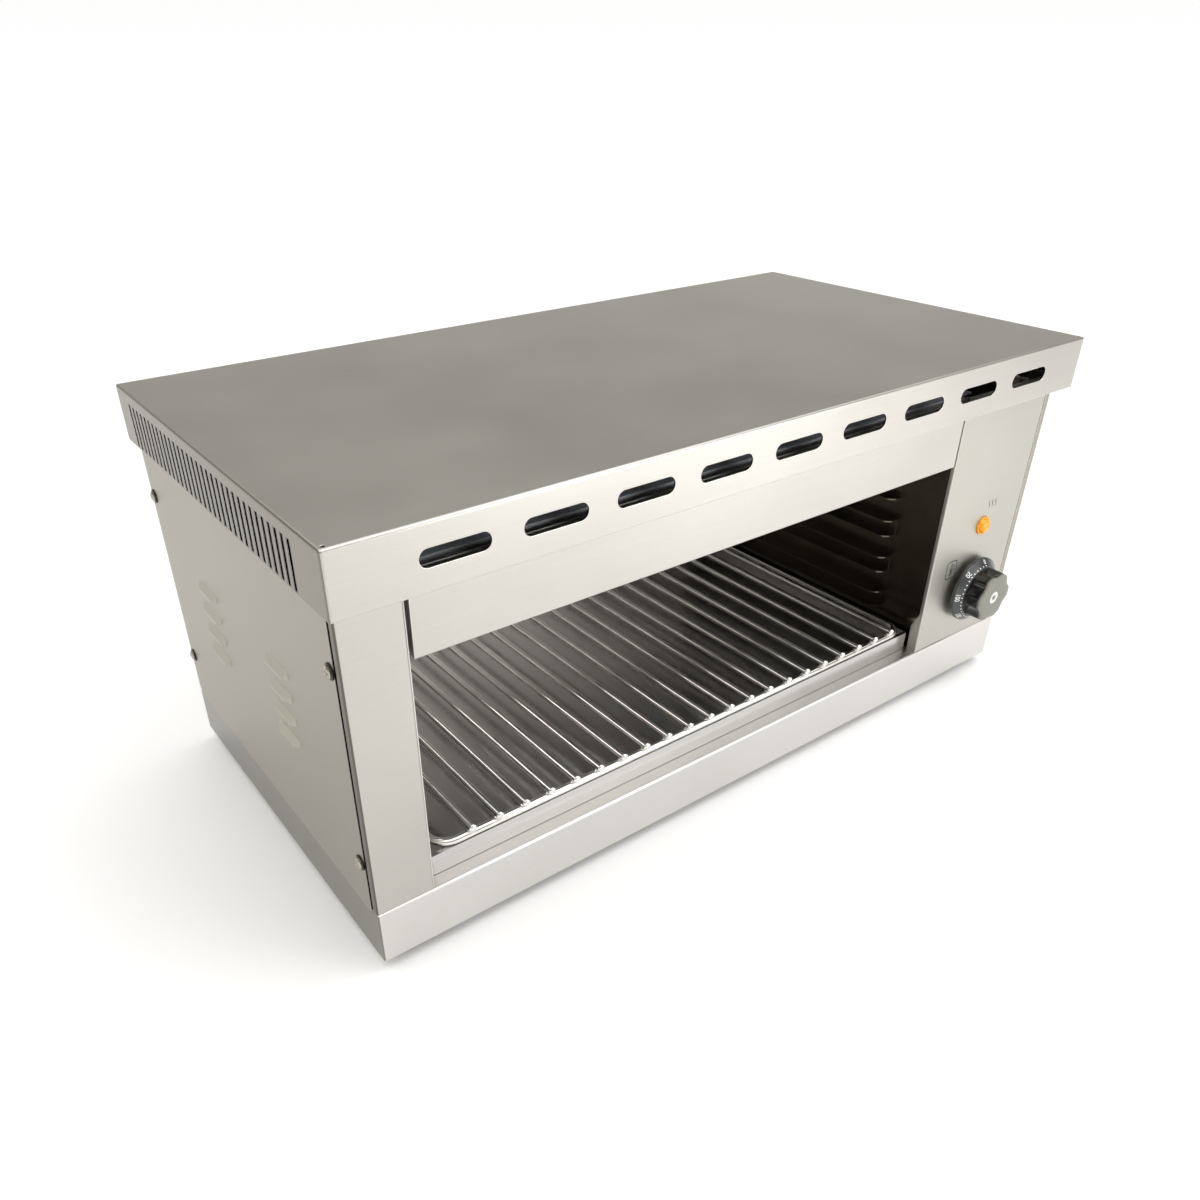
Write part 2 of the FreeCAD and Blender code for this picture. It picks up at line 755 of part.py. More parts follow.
def make_side_cover(label, face, side):
    """A side cover with two groups of pressed louvres and four screw holes."""
    inner = face - wall * side
    low_x, high_x = (face, inner) if side < 0 else (inner, face)
    rear = back_face - wall - gap
    front = body_front + size("cover_set_back")
    bottom = deck - size("cover_lap")
    plate = [block(label + "_sheet", (low_x, front, bottom), (high_x, rear, frame_top))]
    if side > 0:
        strip = size("cover_strip") - size("panel_gap")
        plate.append(block(label + "_front", (low_x, body_front, deck + gap), (high_x, front, frame_top)))
        plate.append(block(label + "_strip", (face - strip, body_front, deck + gap),
                           (high_x, body_front + wall, frame_top)))
    forms, hollows = [], []
    for group_index in range(2):
        start = body_front + size("louvre_set_back") + size("louvre_group_pitch") * group_index
        for level in range(count("louvre_rows")):
            low = deck + size("louvre_low") + size("louvre_pitch") * level - size("louvre_height") / 2
            name = "%s_louvre_%d_%d" % (label, group_index + 1, level + 1)
            form, hollow = louvre(name, face, side, low, start)
            forms.append(form)
            hollows.append(hollow)
    holes = []
    for number, (y, z) in enumerate(cover_screw_places(), start=1):
        holes.append(cylinder("%s_hole_%d" % (label, number), (low_x - past, y, z), "x",
                              hole_radius, wall + past * 2))
    sheet_form = fused(label + "_form", plate + forms)
    piece(label, cut(label, sheet_form, hollows + holes))


def cover_screw_places():
    rows = (body_front + size("cover_screw_front"), back_face - size("cover_screw_rear"))
    return [(y, z) for y in rows for z in screw_rises()]


def make_back_panel():
    """Back sheet with two side returns, a row of vent slots and holes for gland, stud and screws."""
    body = new_body("back_panel", (body_left, back_face, deck))
    plan = new_sketch(body, "XY", "back_plan")
    reach = -size("back_return")
    side = wall * 2
    draw_outline(plan, [
        (0, 0), (0, -wall), (wall, -wall), (wall, reach), (side, reach), (side, -wall),
        (body_width - side, -wall), (body_width - side, reach), (body_width - wall, reach),
        (body_width - wall, -wall), (body_width, -wall), (body_width, 0)])
    pad(body, plan, frame_top - deck)
    vent = new_sketch(body, "XZ", "back_vent")
    wide, tall = size("back_slot_width"), size("back_slot_height")
    row = size("back_slot_pitch") * (count("back_slot_count") - 1)
    draw_rectangle(vent, body_width - size("back_slot_inset") - row - wide, size("back_slot_rise"),
                   wide, tall)
    slot = pocket(body, vent, wall + past, reverse=True)
    repeat(body, slot, "X", row, count("back_slot_count"))
    holes = new_sketch(body, "XZ", "back_holes")
    draw_circle(holes, body_width - size("gland_inset"), size("gland_rise"),
                size("gland_thread_radius") + slack)
    draw_circle(holes, body_width - size("earth_inset"), size("gland_rise"),
                size("earth_radius") + slack)
    for step in (-1, 0, 1):
        draw_circle(holes, body_width / 2 + canopy_screw_reach * step,
                    skirt_bottom + size("canopy_screw_rise") - deck, thread_radius)
    pocket(body, holes, wall + past, reverse=True)
    screws = new_sketch(body, "YZ", "back_screw_holes", -past)
    for rise in screw_rises():
        draw_circle(screws, -size("cover_screw_rear"), rise - deck, thread_radius)
    pocket(body, screws, body_width + past * 2, reverse=True)


def element_legs():
    """Places of the heating elements' legs, front to back, in pairs."""
    pitch = size("element_pitch")
    middle = (body_front + chamber_back) / 2 + size("element_shift")
    first = middle - (pitch + size("leg_spacing")) / 2
    return [(first + pitch * index, first + pitch * index + size("leg_spacing"))
            for index in range(2)]


shield_top = frame_top + wall
reflector_bottom = frame_top - size("reflector_drop") - wall
element_z = reflector_bottom - size("tube_drop")
bulb_z = frame_top - size("bulb_drop")
bulb_front = body_front + size("bulb_set_back")
bulb_x = chamber_right - size("clip_width") / 2


def make_chamber():
    """Side walls, back wall, reflector and heat shield of the grill chamber."""
    back = chamber_back + wall
    piece("chamber_left_wall", block("left_wall", (post_right, chamber_front, deck),
                                     (chamber_left, back, frame_top)))
    right = block("right_wall_sheet", (chamber_right, chamber_front, deck),
                  (chamber_right + wall, back, frame_top))
    holes = []
    for number, y in enumerate([leg for pair in element_legs() for leg in pair], start=1):
        holes.append(cylinder("element_hole_%d" % number, (chamber_right - past, y, element_z), "x",
                              size("tube_radius") + gap, wall + past * 2))
    holes.append(cylinder("capillary_hole", (chamber_right - past, capillary_y(), bulb_z), "x",
                          size("capillary_hole_radius"), wall + past * 2))
    piece("chamber_right_wall", cut("right_wall", right, holes))
    piece("chamber_back_wall", block("back_wall", (chamber_left, chamber_back, deck),
                                     (chamber_right, back, frame_top)))
    low = reflector_bottom
    up = low + wall + size("reflector_flange")
    front = body_front + size("reflector_set_back")
    piece("reflector", fused("reflector_form", [
        block("reflector_sheet", (chamber_left, front, low), (chamber_right, chamber_back, low + wall)),
        block("reflector_left", (chamber_left, front, low), (chamber_left + wall, chamber_back, up)),
        block("reflector_right", (chamber_right - wall, front, low),
              (chamber_right, chamber_back, up)),
    ]))
    front = body_front + size("shield_set_back")
    side = body_left + wall * 2 + size("shield_side_gap")
    rear = back_face - wall - size("shield_side_gap")
    piece("heat_shield", fused("shield_form", [
        block("shield_sheet", (side, front, frame_top),
              (chamber_right + wall + size("shield_overhang"), rear, shield_top)),
        block("shield_left_lip", (side, front + size("post_flange"), frame_top - size("shield_lip")),
              (side + wall, rear, shield_top)),
    ]))


def capillary_y():
    return bulb_front - size("capillary_bend")


def make_canopy_brackets():
    """Hat-shaped bars on the heat shield that carry the canopy's top."""
    wide, foot = size("bracket_width"), size("bracket_width") / 2
    front, rear = chamber_front + size("bracket_inset"), chamber_back
    top = size("overall_height") - wall
    reach = width / 2 - size("bracket_side_inset")
    for label, x in (("canopy_bracket_left", -reach), ("canopy_bracket_right", reach)):
        left, right = x - wide / 2, x + wide / 2
        piece(label, fused(label + "_form", [
            block(label + "_top", (left, front, top - wall), (right, rear, top)),
            block(label + "_web_a", (left, front, shield_top), (left + wall, rear, top)),
            block(label + "_web_b", (right - wall, front, shield_top), (right, rear, top)),
            block(label + "_foot_a", (left - foot, front, shield_top), (left, rear, shield_top + wall)),
            block(label + "_foot_b", (right, front, shield_top), (right + foot, rear, shield_top + wall)),
        ]))


def make_runners():
    """Channel-shaped shelf runners on both side walls, their flanges rounded at the front."""
    high, wide = size("runner_height"), size("runner_width")
    front = body_front + size("runner_set_back")
    length = chamber_back - size("runner_rear_gap") - front
    levels = count("runner_levels")
    lowest = deck + size("runner_low")
    pitch = (fascia_bottom - size("runner_top_gap") - high - lowest) / (levels - 1)
    for level in range(levels):
        low = lowest + pitch * level
        for side_name, face, side in (("left", chamber_left, 1), ("right", chamber_right, -1)):
            label = "%s_shelf_runner_%d" % (side_name, level + 1)
            body = new_body(label, (face, front, low))
            section = new_sketch(body, "XZ", label + "_section")
            points = [(as_size(0), as_size(0)), (wide, as_size(0)), (wide, wall), (wall, wall),
                      (wall, high - wall), (wide, high - wall), (wide, high), (as_size(0), high)]
            if side < 0:
                points = [(-u, v) for u, v in points]
            draw_outline(section, points)
            pad(body, section, length, reverse=True)
            fillet(body, size("runner_corner"),
                   lambda edge, u=wide * side: upright_at(edge, [(u, 0)]))


def make_elements():
    """Two hairpin heating tubes with their end insulators, studs, wall collars and straps."""
    radius = size("tube_radius")
    start = chamber_right + wall + size("element_stub")
    turn_x = chamber_left + size("element_left_gap") + radius + size("leg_spacing") / 2
    insulators, studs, collars = [], [], []
    for label, (near_leg, far_leg) in zip(("front_heating_element", "rear_heating_element"),
                                          element_legs()):
        body = new_body(label, (start, near_leg, element_z))
        spine = new_sketch(body, "XY", label + "_spine")
        run, bow = start - turn_x, (far_leg - near_leg) / 2
        spine.addGeometry(Part.LineSegment(FreeCAD.Vector(0, 0, 0),
                                           FreeCAD.Vector(-run.value, 0, 0)), False)
        circle = Part.Circle(FreeCAD.Vector(-run.value, bow.value, 0), FreeCAD.Vector(0, 0, 1),
                             bow.value)
        spine.addGeometry(Part.ArcOfCircle(circle, math.pi / 2, 3 * math.pi / 2), False)
        spine.addGeometry(Part.LineSegment(FreeCAD.Vector(-run.value, 2 * bow.value, 0),
                                           FreeCAD.Vector(0, 2 * bow.value, 0)), False)
        spine.addConstraint(Sketcher.Constraint("Coincident", 0, 1, -1, 1))
        spine.addConstraint(Sketcher.Constraint("Horizontal", 0))
        spine.addConstraint(Sketcher.Constraint("Tangent", 0, 2, 1, 2))
        spine.addConstraint(Sketcher.Constraint("Tangent", 1, 1, 2, 1))
        dimension(spine, "DistanceX", (-1, 1, 1, 3), -run, "run")
        dimension(spine, "DistanceY", (-1, 1, 1, 3), bow, "bow")
        dimension(spine, "DistanceX", (-1, 1, 2, 2), 0, "far_end")
        spine.addConstraint(Sketcher.Constraint("Horizontal", 2))
        profile = new_sketch(body, "YZ", label + "_profile")
        draw_circle(profile, 0, 0, radius)
        pipe = body.newObject("PartDesign::AdditivePipe", label + "_pipe")
        pipe.Profile = profile
        pipe.Spine = (spine, ["Edge1", "Edge2", "Edge3"])
        body.Tip = pipe
        for y in (near_leg, far_leg):
            number = len(studs) + 1
            base = start + size("insulator_length")
            insulators.append(cylinder("insulator_%d" % number, (start, y, element_z), "x",
                                       size("insulator_radius"), size("insulator_length")))
            studs.append(cylinder("element_stud_%d" % number, (base, y, element_z), "x",
                                  size("stud_radius"), size("stud_length")))
            ring = cylinder("collar_ring_%d" % number, (chamber_right + wall, y, element_z), "x",
                            size("collar_radius"), size("collar_length"))
            bore = cylinder("collar_bore_%d" % number, (chamber_right + wall - past, y, element_z), "x",
                            radius + slack, size("collar_length") + past * 2)
            collars.append(cut("collar_%d" % number, ring, [bore]))
    piece("element_insulators", group("element_insulator_set", insulators))
    piece("element_studs", group("element_stud_set", studs))
    piece("element_collars", group("element_collar_set", collars))
    thick = size("strap_sheet")
    legs = element_legs()
    front = legs[0][0] - radius - size("strap_margin")
    rear = legs[1][1] + radius + size("strap_margin")
    top = element_z - radius - gap
    inset = size("strap_inset")
    for label, x in (("element_strap_left", chamber_left + inset),
                     ("element_strap_right", chamber_right - inset - size("strap_width"))):
        far = x + size("strap_width")
        piece(label, fused(label + "_form", [
            block(label + "_bar", (x, front, top - thick), (far, rear, top)),
            block(label + "_front", (x, front, top - thick), (far, front + thick, reflector_bottom)),
            block(label + "_rear", (x, rear - thick, top - thick), (far, rear, reflector_bottom)),
        ]))


tray_left = chamber_left + size("tray_side_gap")
tray_right = chamber_right - size("tray_side_gap")
tray_front = body_front + size("tray_set_back")
tray_back = chamber_back - size("tray_rear_gap")
tray_bottom = deck + gap
tray_top = tray_bottom + size("tray_height")
rod_z = tray_top + gap + size("wire_radius")
wire_z = rod_z + size("wire_radius") * 2 - size("weld_depth")


def make_tray():
    """Folded drip tray that lies on the deck, with a folded-over hem along front and rear."""
    long, deep, high = tray_right - tray_left, tray_back - tray_front, size("tray_height")
    hem = size("tray_hem")
    body = new_body("drip_tray", (tray_left, tray_front, tray_bottom))
    outline = new_sketch(body, "XY", "tray_outline")
    draw_rectangle(outline, 0, 0, long, deep)
    pad(body, outline, high)
    corners = [(0, 0), (long, 0), (0, deep), (long, deep)]
    fillet(body, bend, lambda edge: upright_at(edge, corners))
    mouth = new_sketch(body, "XY", "tray_mouth", high)
    draw_rectangle(mouth, wall, hem, long - wall * 2, deep - hem * 2)
    pocket(body, mouth, high - wall)
    hollow = new_sketch(body, "XY", "tray_hollow", high - size("tray_hem_height"))
    draw_rectangle(hollow, wall, wall, long - wall * 2, deep - wall * 2)
    pocket(body, hollow, high - wall - size("tray_hem_height"))


def make_grid():
    """Round frame rod with cross wires welded on top of it."""
    radius, corner = size("wire_radius"), size("grid_corner")
    left = tray_left + size("grid_inset") + radius
    right = tray_right - size("grid_inset") - radius
    front = tray_front + size("rod_inset")
    back = tray_back - size("rod_inset")
    parts = [
        cylinder("rod_front", (left + corner, front, rod_z), "x", radius, right - left - corner * 2),
        cylinder("rod_back", (left + corner, back, rod_z), "x", radius, right - left - corner * 2),
        cylinder("rod_left", (left, front + corner, rod_z), "y", radius, back - front - corner * 2),
        cylinder("rod_right", (right, front + corner, rod_z), "y", radius, back - front - corner * 2),
    ]
    quarters = (("a", left + corner, front + corner, 180), ("b", right - corner, front + corner, 270),
                ("c", right - corner, back - corner, 0), ("d", left + corner, back - corner, 90))
    for name, x, y, turn in quarters:
        bow = solid("Torus", "rod_corner_" + name, (x, y, rod_z), Radius1=corner, Radius2=radius)
        bow.Angle3 = 90
        bow.Placement.Rotation = FreeCAD.Rotation(FreeCAD.Vector(0, 0, 1), turn)
        parts.append(bow)
    over = size("wire_overhang")
    start = tray_left + size("grid_inset") + size("wire_start")
    room = right + radius - size("wire_margin") - start
    for number in range(copies(room, size("wire_pitch"))):
        x = start + size("wire_pitch") * number
        parts.append(cylinder("cross_wire_%d" % (number + 1), (x, front - over, wire_z), "y", radius,
                              back - front + over * 2))
    piece("wire_grid", fused("wire_grid_form", parts))


def make_knob():
    """Numbered dial, fluted grip, face plate, small insert and the spindle they turn on."""
    def out(distance):
        return body_front - distance

    rim, bevel, hub = size("dial_rim"), size("dial_bevel"), size("hub_radius")
    start = size("dial_gap")
    top = start + rim + bevel
    dial = fused("dial_form", [
        cylinder("dial_edge", (knob_x, out(start), knob_z), "-y", size("dial_radius"), rim),
        cone("dial_slope", (knob_x, out(start + rim), knob_z), "-y", size("dial_radius"),
             size("dial_top_radius"), bevel)])
    bore = cylinder("dial_bore", (knob_x, out(start - past), knob_z), "-y", hub + slack,
                    rim + bevel + past * 2)
    piece("knob_dial", cut("dial", dial, [bore]))
    for label, level, height in (("knob_grip", top, size("grip_height")),
                                 ("knob_face", stack, size("face_height"))):
        body = new_body(label, (knob_x, out(level), knob_z))
        disc = new_sketch(body, "XZ", label + "_disc")
        draw_circle(disc, 0, 0, size("grip_radius"))
        pad(body, disc, height)
        flute = new_sketch(body, "XZ", label + "_flute", -past)
        draw_circle(flute, 0, size("flute_reach"), size("flute_radius"))
        groove = pocket(body, flute, height + past * 2, reverse=True)
        ring = body.newObject("PartDesign::PolarPattern", label + "_flutes")
        ring.Originals = [groove]
        ring.Axis = (origin_part(body, "Y_Axis"), [""])
        ring.Angle = 360
        ring.Occurrences = count("flute_count")
        body.Tip = ring
        CUTS.append((ring, groove))
        if label == "knob_grip":
            stem = new_sketch(body, "XZ", label + "_stem", -(rim + bevel))
            draw_circle(stem, 0, 0, hub)
            pad(body, stem, rim + bevel)
            hole = new_sketch(body, "XZ", label + "_bore", -(rim + bevel) - past)
            draw_circle(hole, 0, 0, size("spindle_radius") + slack)
            pocket(body, hole, size("spindle_grip") + past, reverse=True)
        else:
            hole = new_sketch(body, "XZ", label + "_hole", -past)
            draw_circle(hole, 0, 0, size("insert_radius") + slack)
            pocket(body, hole, height + past * 2, reverse=True)
    piece("knob_insert", cylinder("insert_disc", (knob_x, out(stack), knob_z), "-y",
                                  size("insert_radius"), size("face_height") + size("insert_proud")))
    reach = start + size("spindle_grip") - gap
    inner = wall + size("spindle_seat")
    shaft = cylinder("spindle_shaft", (knob_x, out(-inner), knob_z), "-y", size("spindle_radius"),
                     reach + inner)
    radius, flat = size("spindle_radius"), size("spindle_flat")
    edge = knob_z + radius - flat
    trim = block("spindle_trim", (knob_x - radius * 2, out(reach + past), edge),
                 (knob_x + radius * 2, out(start), edge + radius))
    piece("thermostat_spindle", cut("spindle", shaft, [trim]))


def make_thermostat():
    """Thermostat behind the panel, its two countersunk screws, sensor bulb, clips and capillary."""
    half, tall = size("thermostat_width") / 2, size("thermostat_height") / 2
    front = body_front + wall
    rear = front + size("thermostat_depth")
    body_parts = [
        block("thermostat_case", (knob_x - half, front, knob_z - tall),
              (knob_x + half, rear, knob_z + tall)),
    ]
    blade = size("tab_blade_width") / 2
    for number, (side, up) in enumerate(((-1, -1), (-1, 1), (1, -1), (1, 1)), start=1):
        x = knob_x + half * side / 2
        z = knob_z + tall * up / 2
        body_parts.append(block("thermostat_tab_%d" % number, (x - wall / 2, rear, z - blade),
                                (x + wall / 2, rear + size("tab_blade_length"), z + blade)))
    bores = [cylinder("thermostat_bore", (knob_x, front - past, knob_z), "y",
                      size("spindle_radius") + slack, size("spindle_seat") + past + gap)]
    screws = []
    for side in (-1, 1):
        x = knob_x + size("thermostat_screw_pitch") * side / 2
        name = "left" if side < 0 else "right"
        bores.append(cylinder("thermostat_thread_" + name, (x, front - past, knob_z), "y",
                              size("small_screw_radius") + slack,
                              size("small_screw_length") + past + gap))
        head = cylinder("small_head_" + name, (x, body_front, knob_z), "y",
                        size("small_head_radius"), wall)
        stem = cylinder("small_stem_" + name, (x, body_front, knob_z), "y",
                        size("small_screw_radius"), wall + size("small_screw_length"))
        cross = [block("small_cross_%s_%s" % (name, kind),
                       (x - reach_x, body_front - past, knob_z - reach_z),
                       (x + reach_x, body_front + wall / 2, knob_z + reach_z))
                 for kind, reach_x, reach_z in (
                     ("a", size("cross_length") / 2, size("cross_width") / 2),
                     ("b", size("cross_width") / 2, size("cross_length") / 2))]
        screws.append(cut("small_screw_" + name, fused("small_form_" + name, [head, stem]), cross))
    piece("thermostat_body", cut("thermostat", fused("thermostat_form", body_parts), bores))
    piece("thermostat_screws", group("thermostat_screw_set", screws))
    radius, length = size("bulb_radius"), size("bulb_length")
    piece("sensor_bulb", cylinder("bulb", (bulb_x, bulb_front, bulb_z), "y", radius, length))
    clips = []
    reach = size("clip_width") / 2
    for name, y in (("front", bulb_front + size("clip_length")),
                    ("rear", bulb_front + length - size("clip_length") * 2)):
        saddle = block("clip_block_" + name, (bulb_x - reach, y, bulb_z - reach),
                       (chamber_right, y + size("clip_length"), bulb_z + reach))
        hole = cylinder("clip_hole_" + name, (bulb_x, y - past, bulb_z), "y", radius + slack,
                        size("clip_length") + past * 2)
        clips.append(cut("clip_" + name, saddle, [hole]))
    piece("sensor_clips", group("sensor_clip_set", clips))


def make_lamp():
    """Indicator lamp: flanged lens before the panel, its body through it, and a nut behind."""
    flange = size("lamp_flange_height")
    base = body_front - flange
    tip = base - size("lens_base_height")
    lens = fused("lens_form", [
        cylinder("lens_flange", (lamp_x, body_front, lamp_z), "-y", size("lamp_flange_radius"), flange),
        cone("lens_base", (lamp_x, base, lamp_z), "-y", size("lens_radius"),
             size("lens_waist_radius"), size("lens_base_height")),
        cone("lens_tip", (lamp_x, tip, lamp_z), "-y", size("lens_waist_radius"),
             size("lens_tip_radius"), size("lens_tip_height"))])
    piece("lamp_lens", lens)
    barrel = size("lamp_barrel_radius")
    piece("lamp_body", cylinder("lamp_barrel", (lamp_x, body_front, lamp_z), "y", barrel,
                                size("lamp_barrel_length")))
    nut = cylinder("lamp_nut_ring", (lamp_x, body_front + wall, lamp_z), "y",
                   size("lamp_nut_radius"), size("lamp_nut_height"))
    bore = cylinder("lamp_nut_bore", (lamp_x, body_front + wall - past, lamp_z), "y",
                    barrel + slack, size("lamp_nut_height") + past * 2)
    piece("lamp_nut", cut("lamp_nut_form", nut, [bore]))


block_x = knob_x
block_back = back_face - size("block_rear_gap")


def pole_places():
    pitch = size("block_length") / count("block_poles")
    offsets = [index - (count("block_poles") - 1) / 2 for index in range(count("block_poles"))]
    return [block_x + pitch * offset for offset in offsets]


def make_terminal_block():
    """Terminal block on the deck with two screws for each pole."""
    half = size("block_length") / 2
    front = block_back - size("block_width")
    top = deck + size("block_height")
    base = block("terminal_case", (block_x - half, front, deck), (block_x + half, block_back, top))
    radius = size("block_screw_radius")
    wells, screws = [], []
    for number, x in enumerate(pole_places(), start=1):
        wells.append(cylinder("wire_way_%d" % number, (x, front - past, deck + size("block_height") / 2),
                              "y", size("lead_radius") + slack, size("block_width") / 4 + past))
        for row, y in (("a", front + size("block_width") / 3), ("b", block_back - size("block_width") / 3)):
            screws.append(cylinder("pole_screw_%d%s" % (number, row), (x, y, top), "z", radius,
                                   size("block_screw_height")))
    piece("terminal_block", cut("terminal_form", base, wells))
    piece("terminal_screws", group("terminal_screw_set", screws))


def rounded_route(label, points):
    """A wire of straight runs joined by tangent arcs as large as the shorter run allows."""
    tangent_share = 0.45
    edges = []
    radii = []
    start = points[0]
    for index in range(1, len(points) - 1):
        before, corner, after = points[index - 1], points[index], points[index + 1]
        arriving, leaving = corner - before, after - corner
        reach = tangent_share * min(arriving.Length, leaving.Length)
        entry = corner - arriving * (reach / arriving.Length)
        leave = corner + leaving * (reach / leaving.Length)
        turn = arriving.getAngle(leaving)
        radius = reach / math.tan(turn / 2)
        radii.append(radius)
        towards = (entry - corner) + (leave - corner)
        towards.normalize()
        middle = corner + towards * (radius / math.cos(turn / 2) - radius)
        edges.append(Part.LineSegment(start, entry).toShape())
        edges.append(Part.Arc(entry, middle, leave).toShape())
        start = leave
    edges.append(Part.LineSegment(start, points[-1]).toShape())
    print("%s arc radii: %s" % (label, ", ".join("%.1f" % radius for radius in radii)))
    return Part.Wire(edges)


def tube(label, route, radius):
    """A round tube along a route of places given as sizes, its volume compared with its length."""
    volume_share = 0.001
    points = [FreeCAD.Vector(*[as_size(value).value for value in spot]) for spot in route]
    wire = rounded_route(label, points)
    circle = Part.Wire([Part.makeCircle(radius.value, points[0], points[1] - points[0])])
    shape = wire.makePipeShell([circle], True, False)
    expected = math.pi * radius.value ** 2 * wire.Length
    if abs(shape.Volume - expected) > volume_share * expected:
        raise RuntimeError("%s is %.1f mm3, not %.1f mm3" % (label, shape.Volume, expected))
    return shape


def route_piece(label, shape):
    item = doc.addObject("Part::Feature", label)
    item.Shape = shape
    item.Placement = FreeCAD.Placement(FreeCAD.Vector(), FreeCAD.Rotation())
    return piece(label, item)


def bowed(start, end, share, bow_shares):
    """A place at a share of the way from start to end, moved by its shares of the leads' bow."""
    return tuple(as_size(first) + (as_size(last) - as_size(first)) * share + size("lead_bow") * bow
                 for first, last, bow in zip(start, end, bow_shares))


def away(spot, axis, distance):
    moved = [as_size(value) for value in spot]
    moved[axis] = moved[axis] + distance
    return tuple(moved)


def make_wiring():
    """Capillary tube, leads between terminal block, thermostat and elements, and lamp leads."""
    reach, short = size("lead_reach"), size("short_reach")
    lead = size("lead_radius")
    studs_end = (chamber_right + wall + size("element_stub") + size("insulator_length")
                 + size("stud_length"))
    studs = [(studs_end, y, element_z) for pair in element_legs() for y in pair]
    block_front = block_back - size("block_width")
    way = block_front + size("block_width") / 4
    poles = [(x, way, deck + size("block_height") / 2) for x in pole_places()]
    case_rear = body_front + wall + size("thermostat_depth")
    blade_end = case_rear + size("tab_blade_length")
    rise, aside = size("thermostat_height") / 4, size("thermostat_width") / 4
    low_tab = (knob_x - aside, blade_end, knob_z - rise)
    high_tab = (knob_x + aside, blade_end, knob_z + rise)

    # Between its ends each lead passes places at a share of the way, bowed out along X, Y and Z.
    start, end = poles[0], low_tab
    first, last = away(start, 1, -reach), away(end, 1, reach)
    live_shares = [(0.3, (0.3, 0, -0.1)), (0.67, (-0.3, 0, 0.2))]
    route_piece("live_lead", tube("live_lead", [start, first] + [
        bowed(first, last, *shares) for shares in live_shares] + [last, end], lead))

    start, end = poles[1], studs[3]
    first, last = away(start, 1, -short), away(end, 0, reach)
    neutral_shares = [(0.17, (0.35, -0.85, 0)), (0.46, (0.9, -1.1, 0)), (0.76, (0.85, -0.65, 0))]
    route_piece("neutral_lead", tube("neutral_lead", [start, first] + [
        bowed(first, last, *shares) for shares in neutral_shares] + [last, end], lead))

    start, end = high_tab, studs[0]
    first, last = away(start, 1, reach), away(end, 0, short)
    element_shares = [(0.25, (0.5, 0.2, 0)), (0.56, (0.9, 0, 0)), (0.86, (0.6, -0.1, 0))]
    supply = tube("element_lead", [start, first] + [
        bowed(first, last, *shares) for shares in element_shares] + [last, end], lead)
    start, end = studs[1], studs[2]
    first, last = away(start, 0, short), away(end, 0, short)
    bow = size("leg_spacing") / 4
    link = tube("element_link", [
        start, first, away(away(first, 0, bow), 1, bow), away(away(last, 0, bow), 1, -bow), last,
        end], lead)
    route_piece("element_leads", Part.makeCompound([supply, link]))

    start = poles[-1]
    end = (body_right - size("earth_inset"), back_face - wall - size("earth_head_height"),
           deck + size("gland_rise"))
    first, last = away(start, 1, -short), away(end, 1, -short)
    earth_shares = [(0, (0.3, -0.4, 1.4)), (0.12, (0.4, -0.2, 2.6)), (0.45, (0.3, 0.1, 2.6)),
                    (0.8, (0.1, 0.1, 1.4))]
    route_piece("earth_lead", tube("earth_lead", [start, first] + [
        bowed(first, last, *shares) for shares in earth_shares] + [last, end], lead))

    start, end = (bulb_x, bulb_front, bulb_z), (knob_x, case_rear, knob_z + rise)
    bend_corner = (bulb_x, capillary_y(), bulb_z)
    first, last = away(bend_corner, 0, short), away(end, 1, reach)
    capillary_shares = [(0.24, (0.5, 0, 0.3)), (0.54, (0.75, 0, 0.3)), (0.82, (0.5, 0.1, 0.1))]
    route_piece("capillary_tube", tube("capillary_tube", [start, bend_corner, first] + [
        bowed(first, last, *shares) for shares in capillary_shares] + [last, end],
        size("capillary_radius")))

    lamp_rear = body_front + size("lamp_barrel_length")
    lamp_shares = [(0.24, (0.1, 0.6, 0)), (0.62, (0.2, 0.5, 0))]
    leads, caps = [], []
    for name, side in (("left", -1), ("right", 1)):
        offset = as_size(0) if side > 0 else size("cap_pitch")
        lift = as_size(0) if side > 0 else size("cap_step")
        cap = (body_right - size("cap_inset") - offset, body_front + size("cap_depth"),
               frame_top - size("cap_step") + lift - size("cap_length"))
        root = (lamp_x + size("lamp_lead_radius") * 2 * side, lamp_rear, lamp_z)
        first, last = away(root, 1, short), away(cap, 2, -short)
        leads.append(tube("lamp_lead_" + name, [root, first] + [
            bowed(first, last, *shares) for shares in lamp_shares] + [last, cap],
            size("lamp_lead_radius")))
        caps.append(cylinder("lead_cap_" + name, cap, "z", size("cap_radius"), size("cap_length")))
    route_piece("lamp_leads", Part.makeCompound(leads))
    piece("lead_caps", group("lead_cap_set", caps))


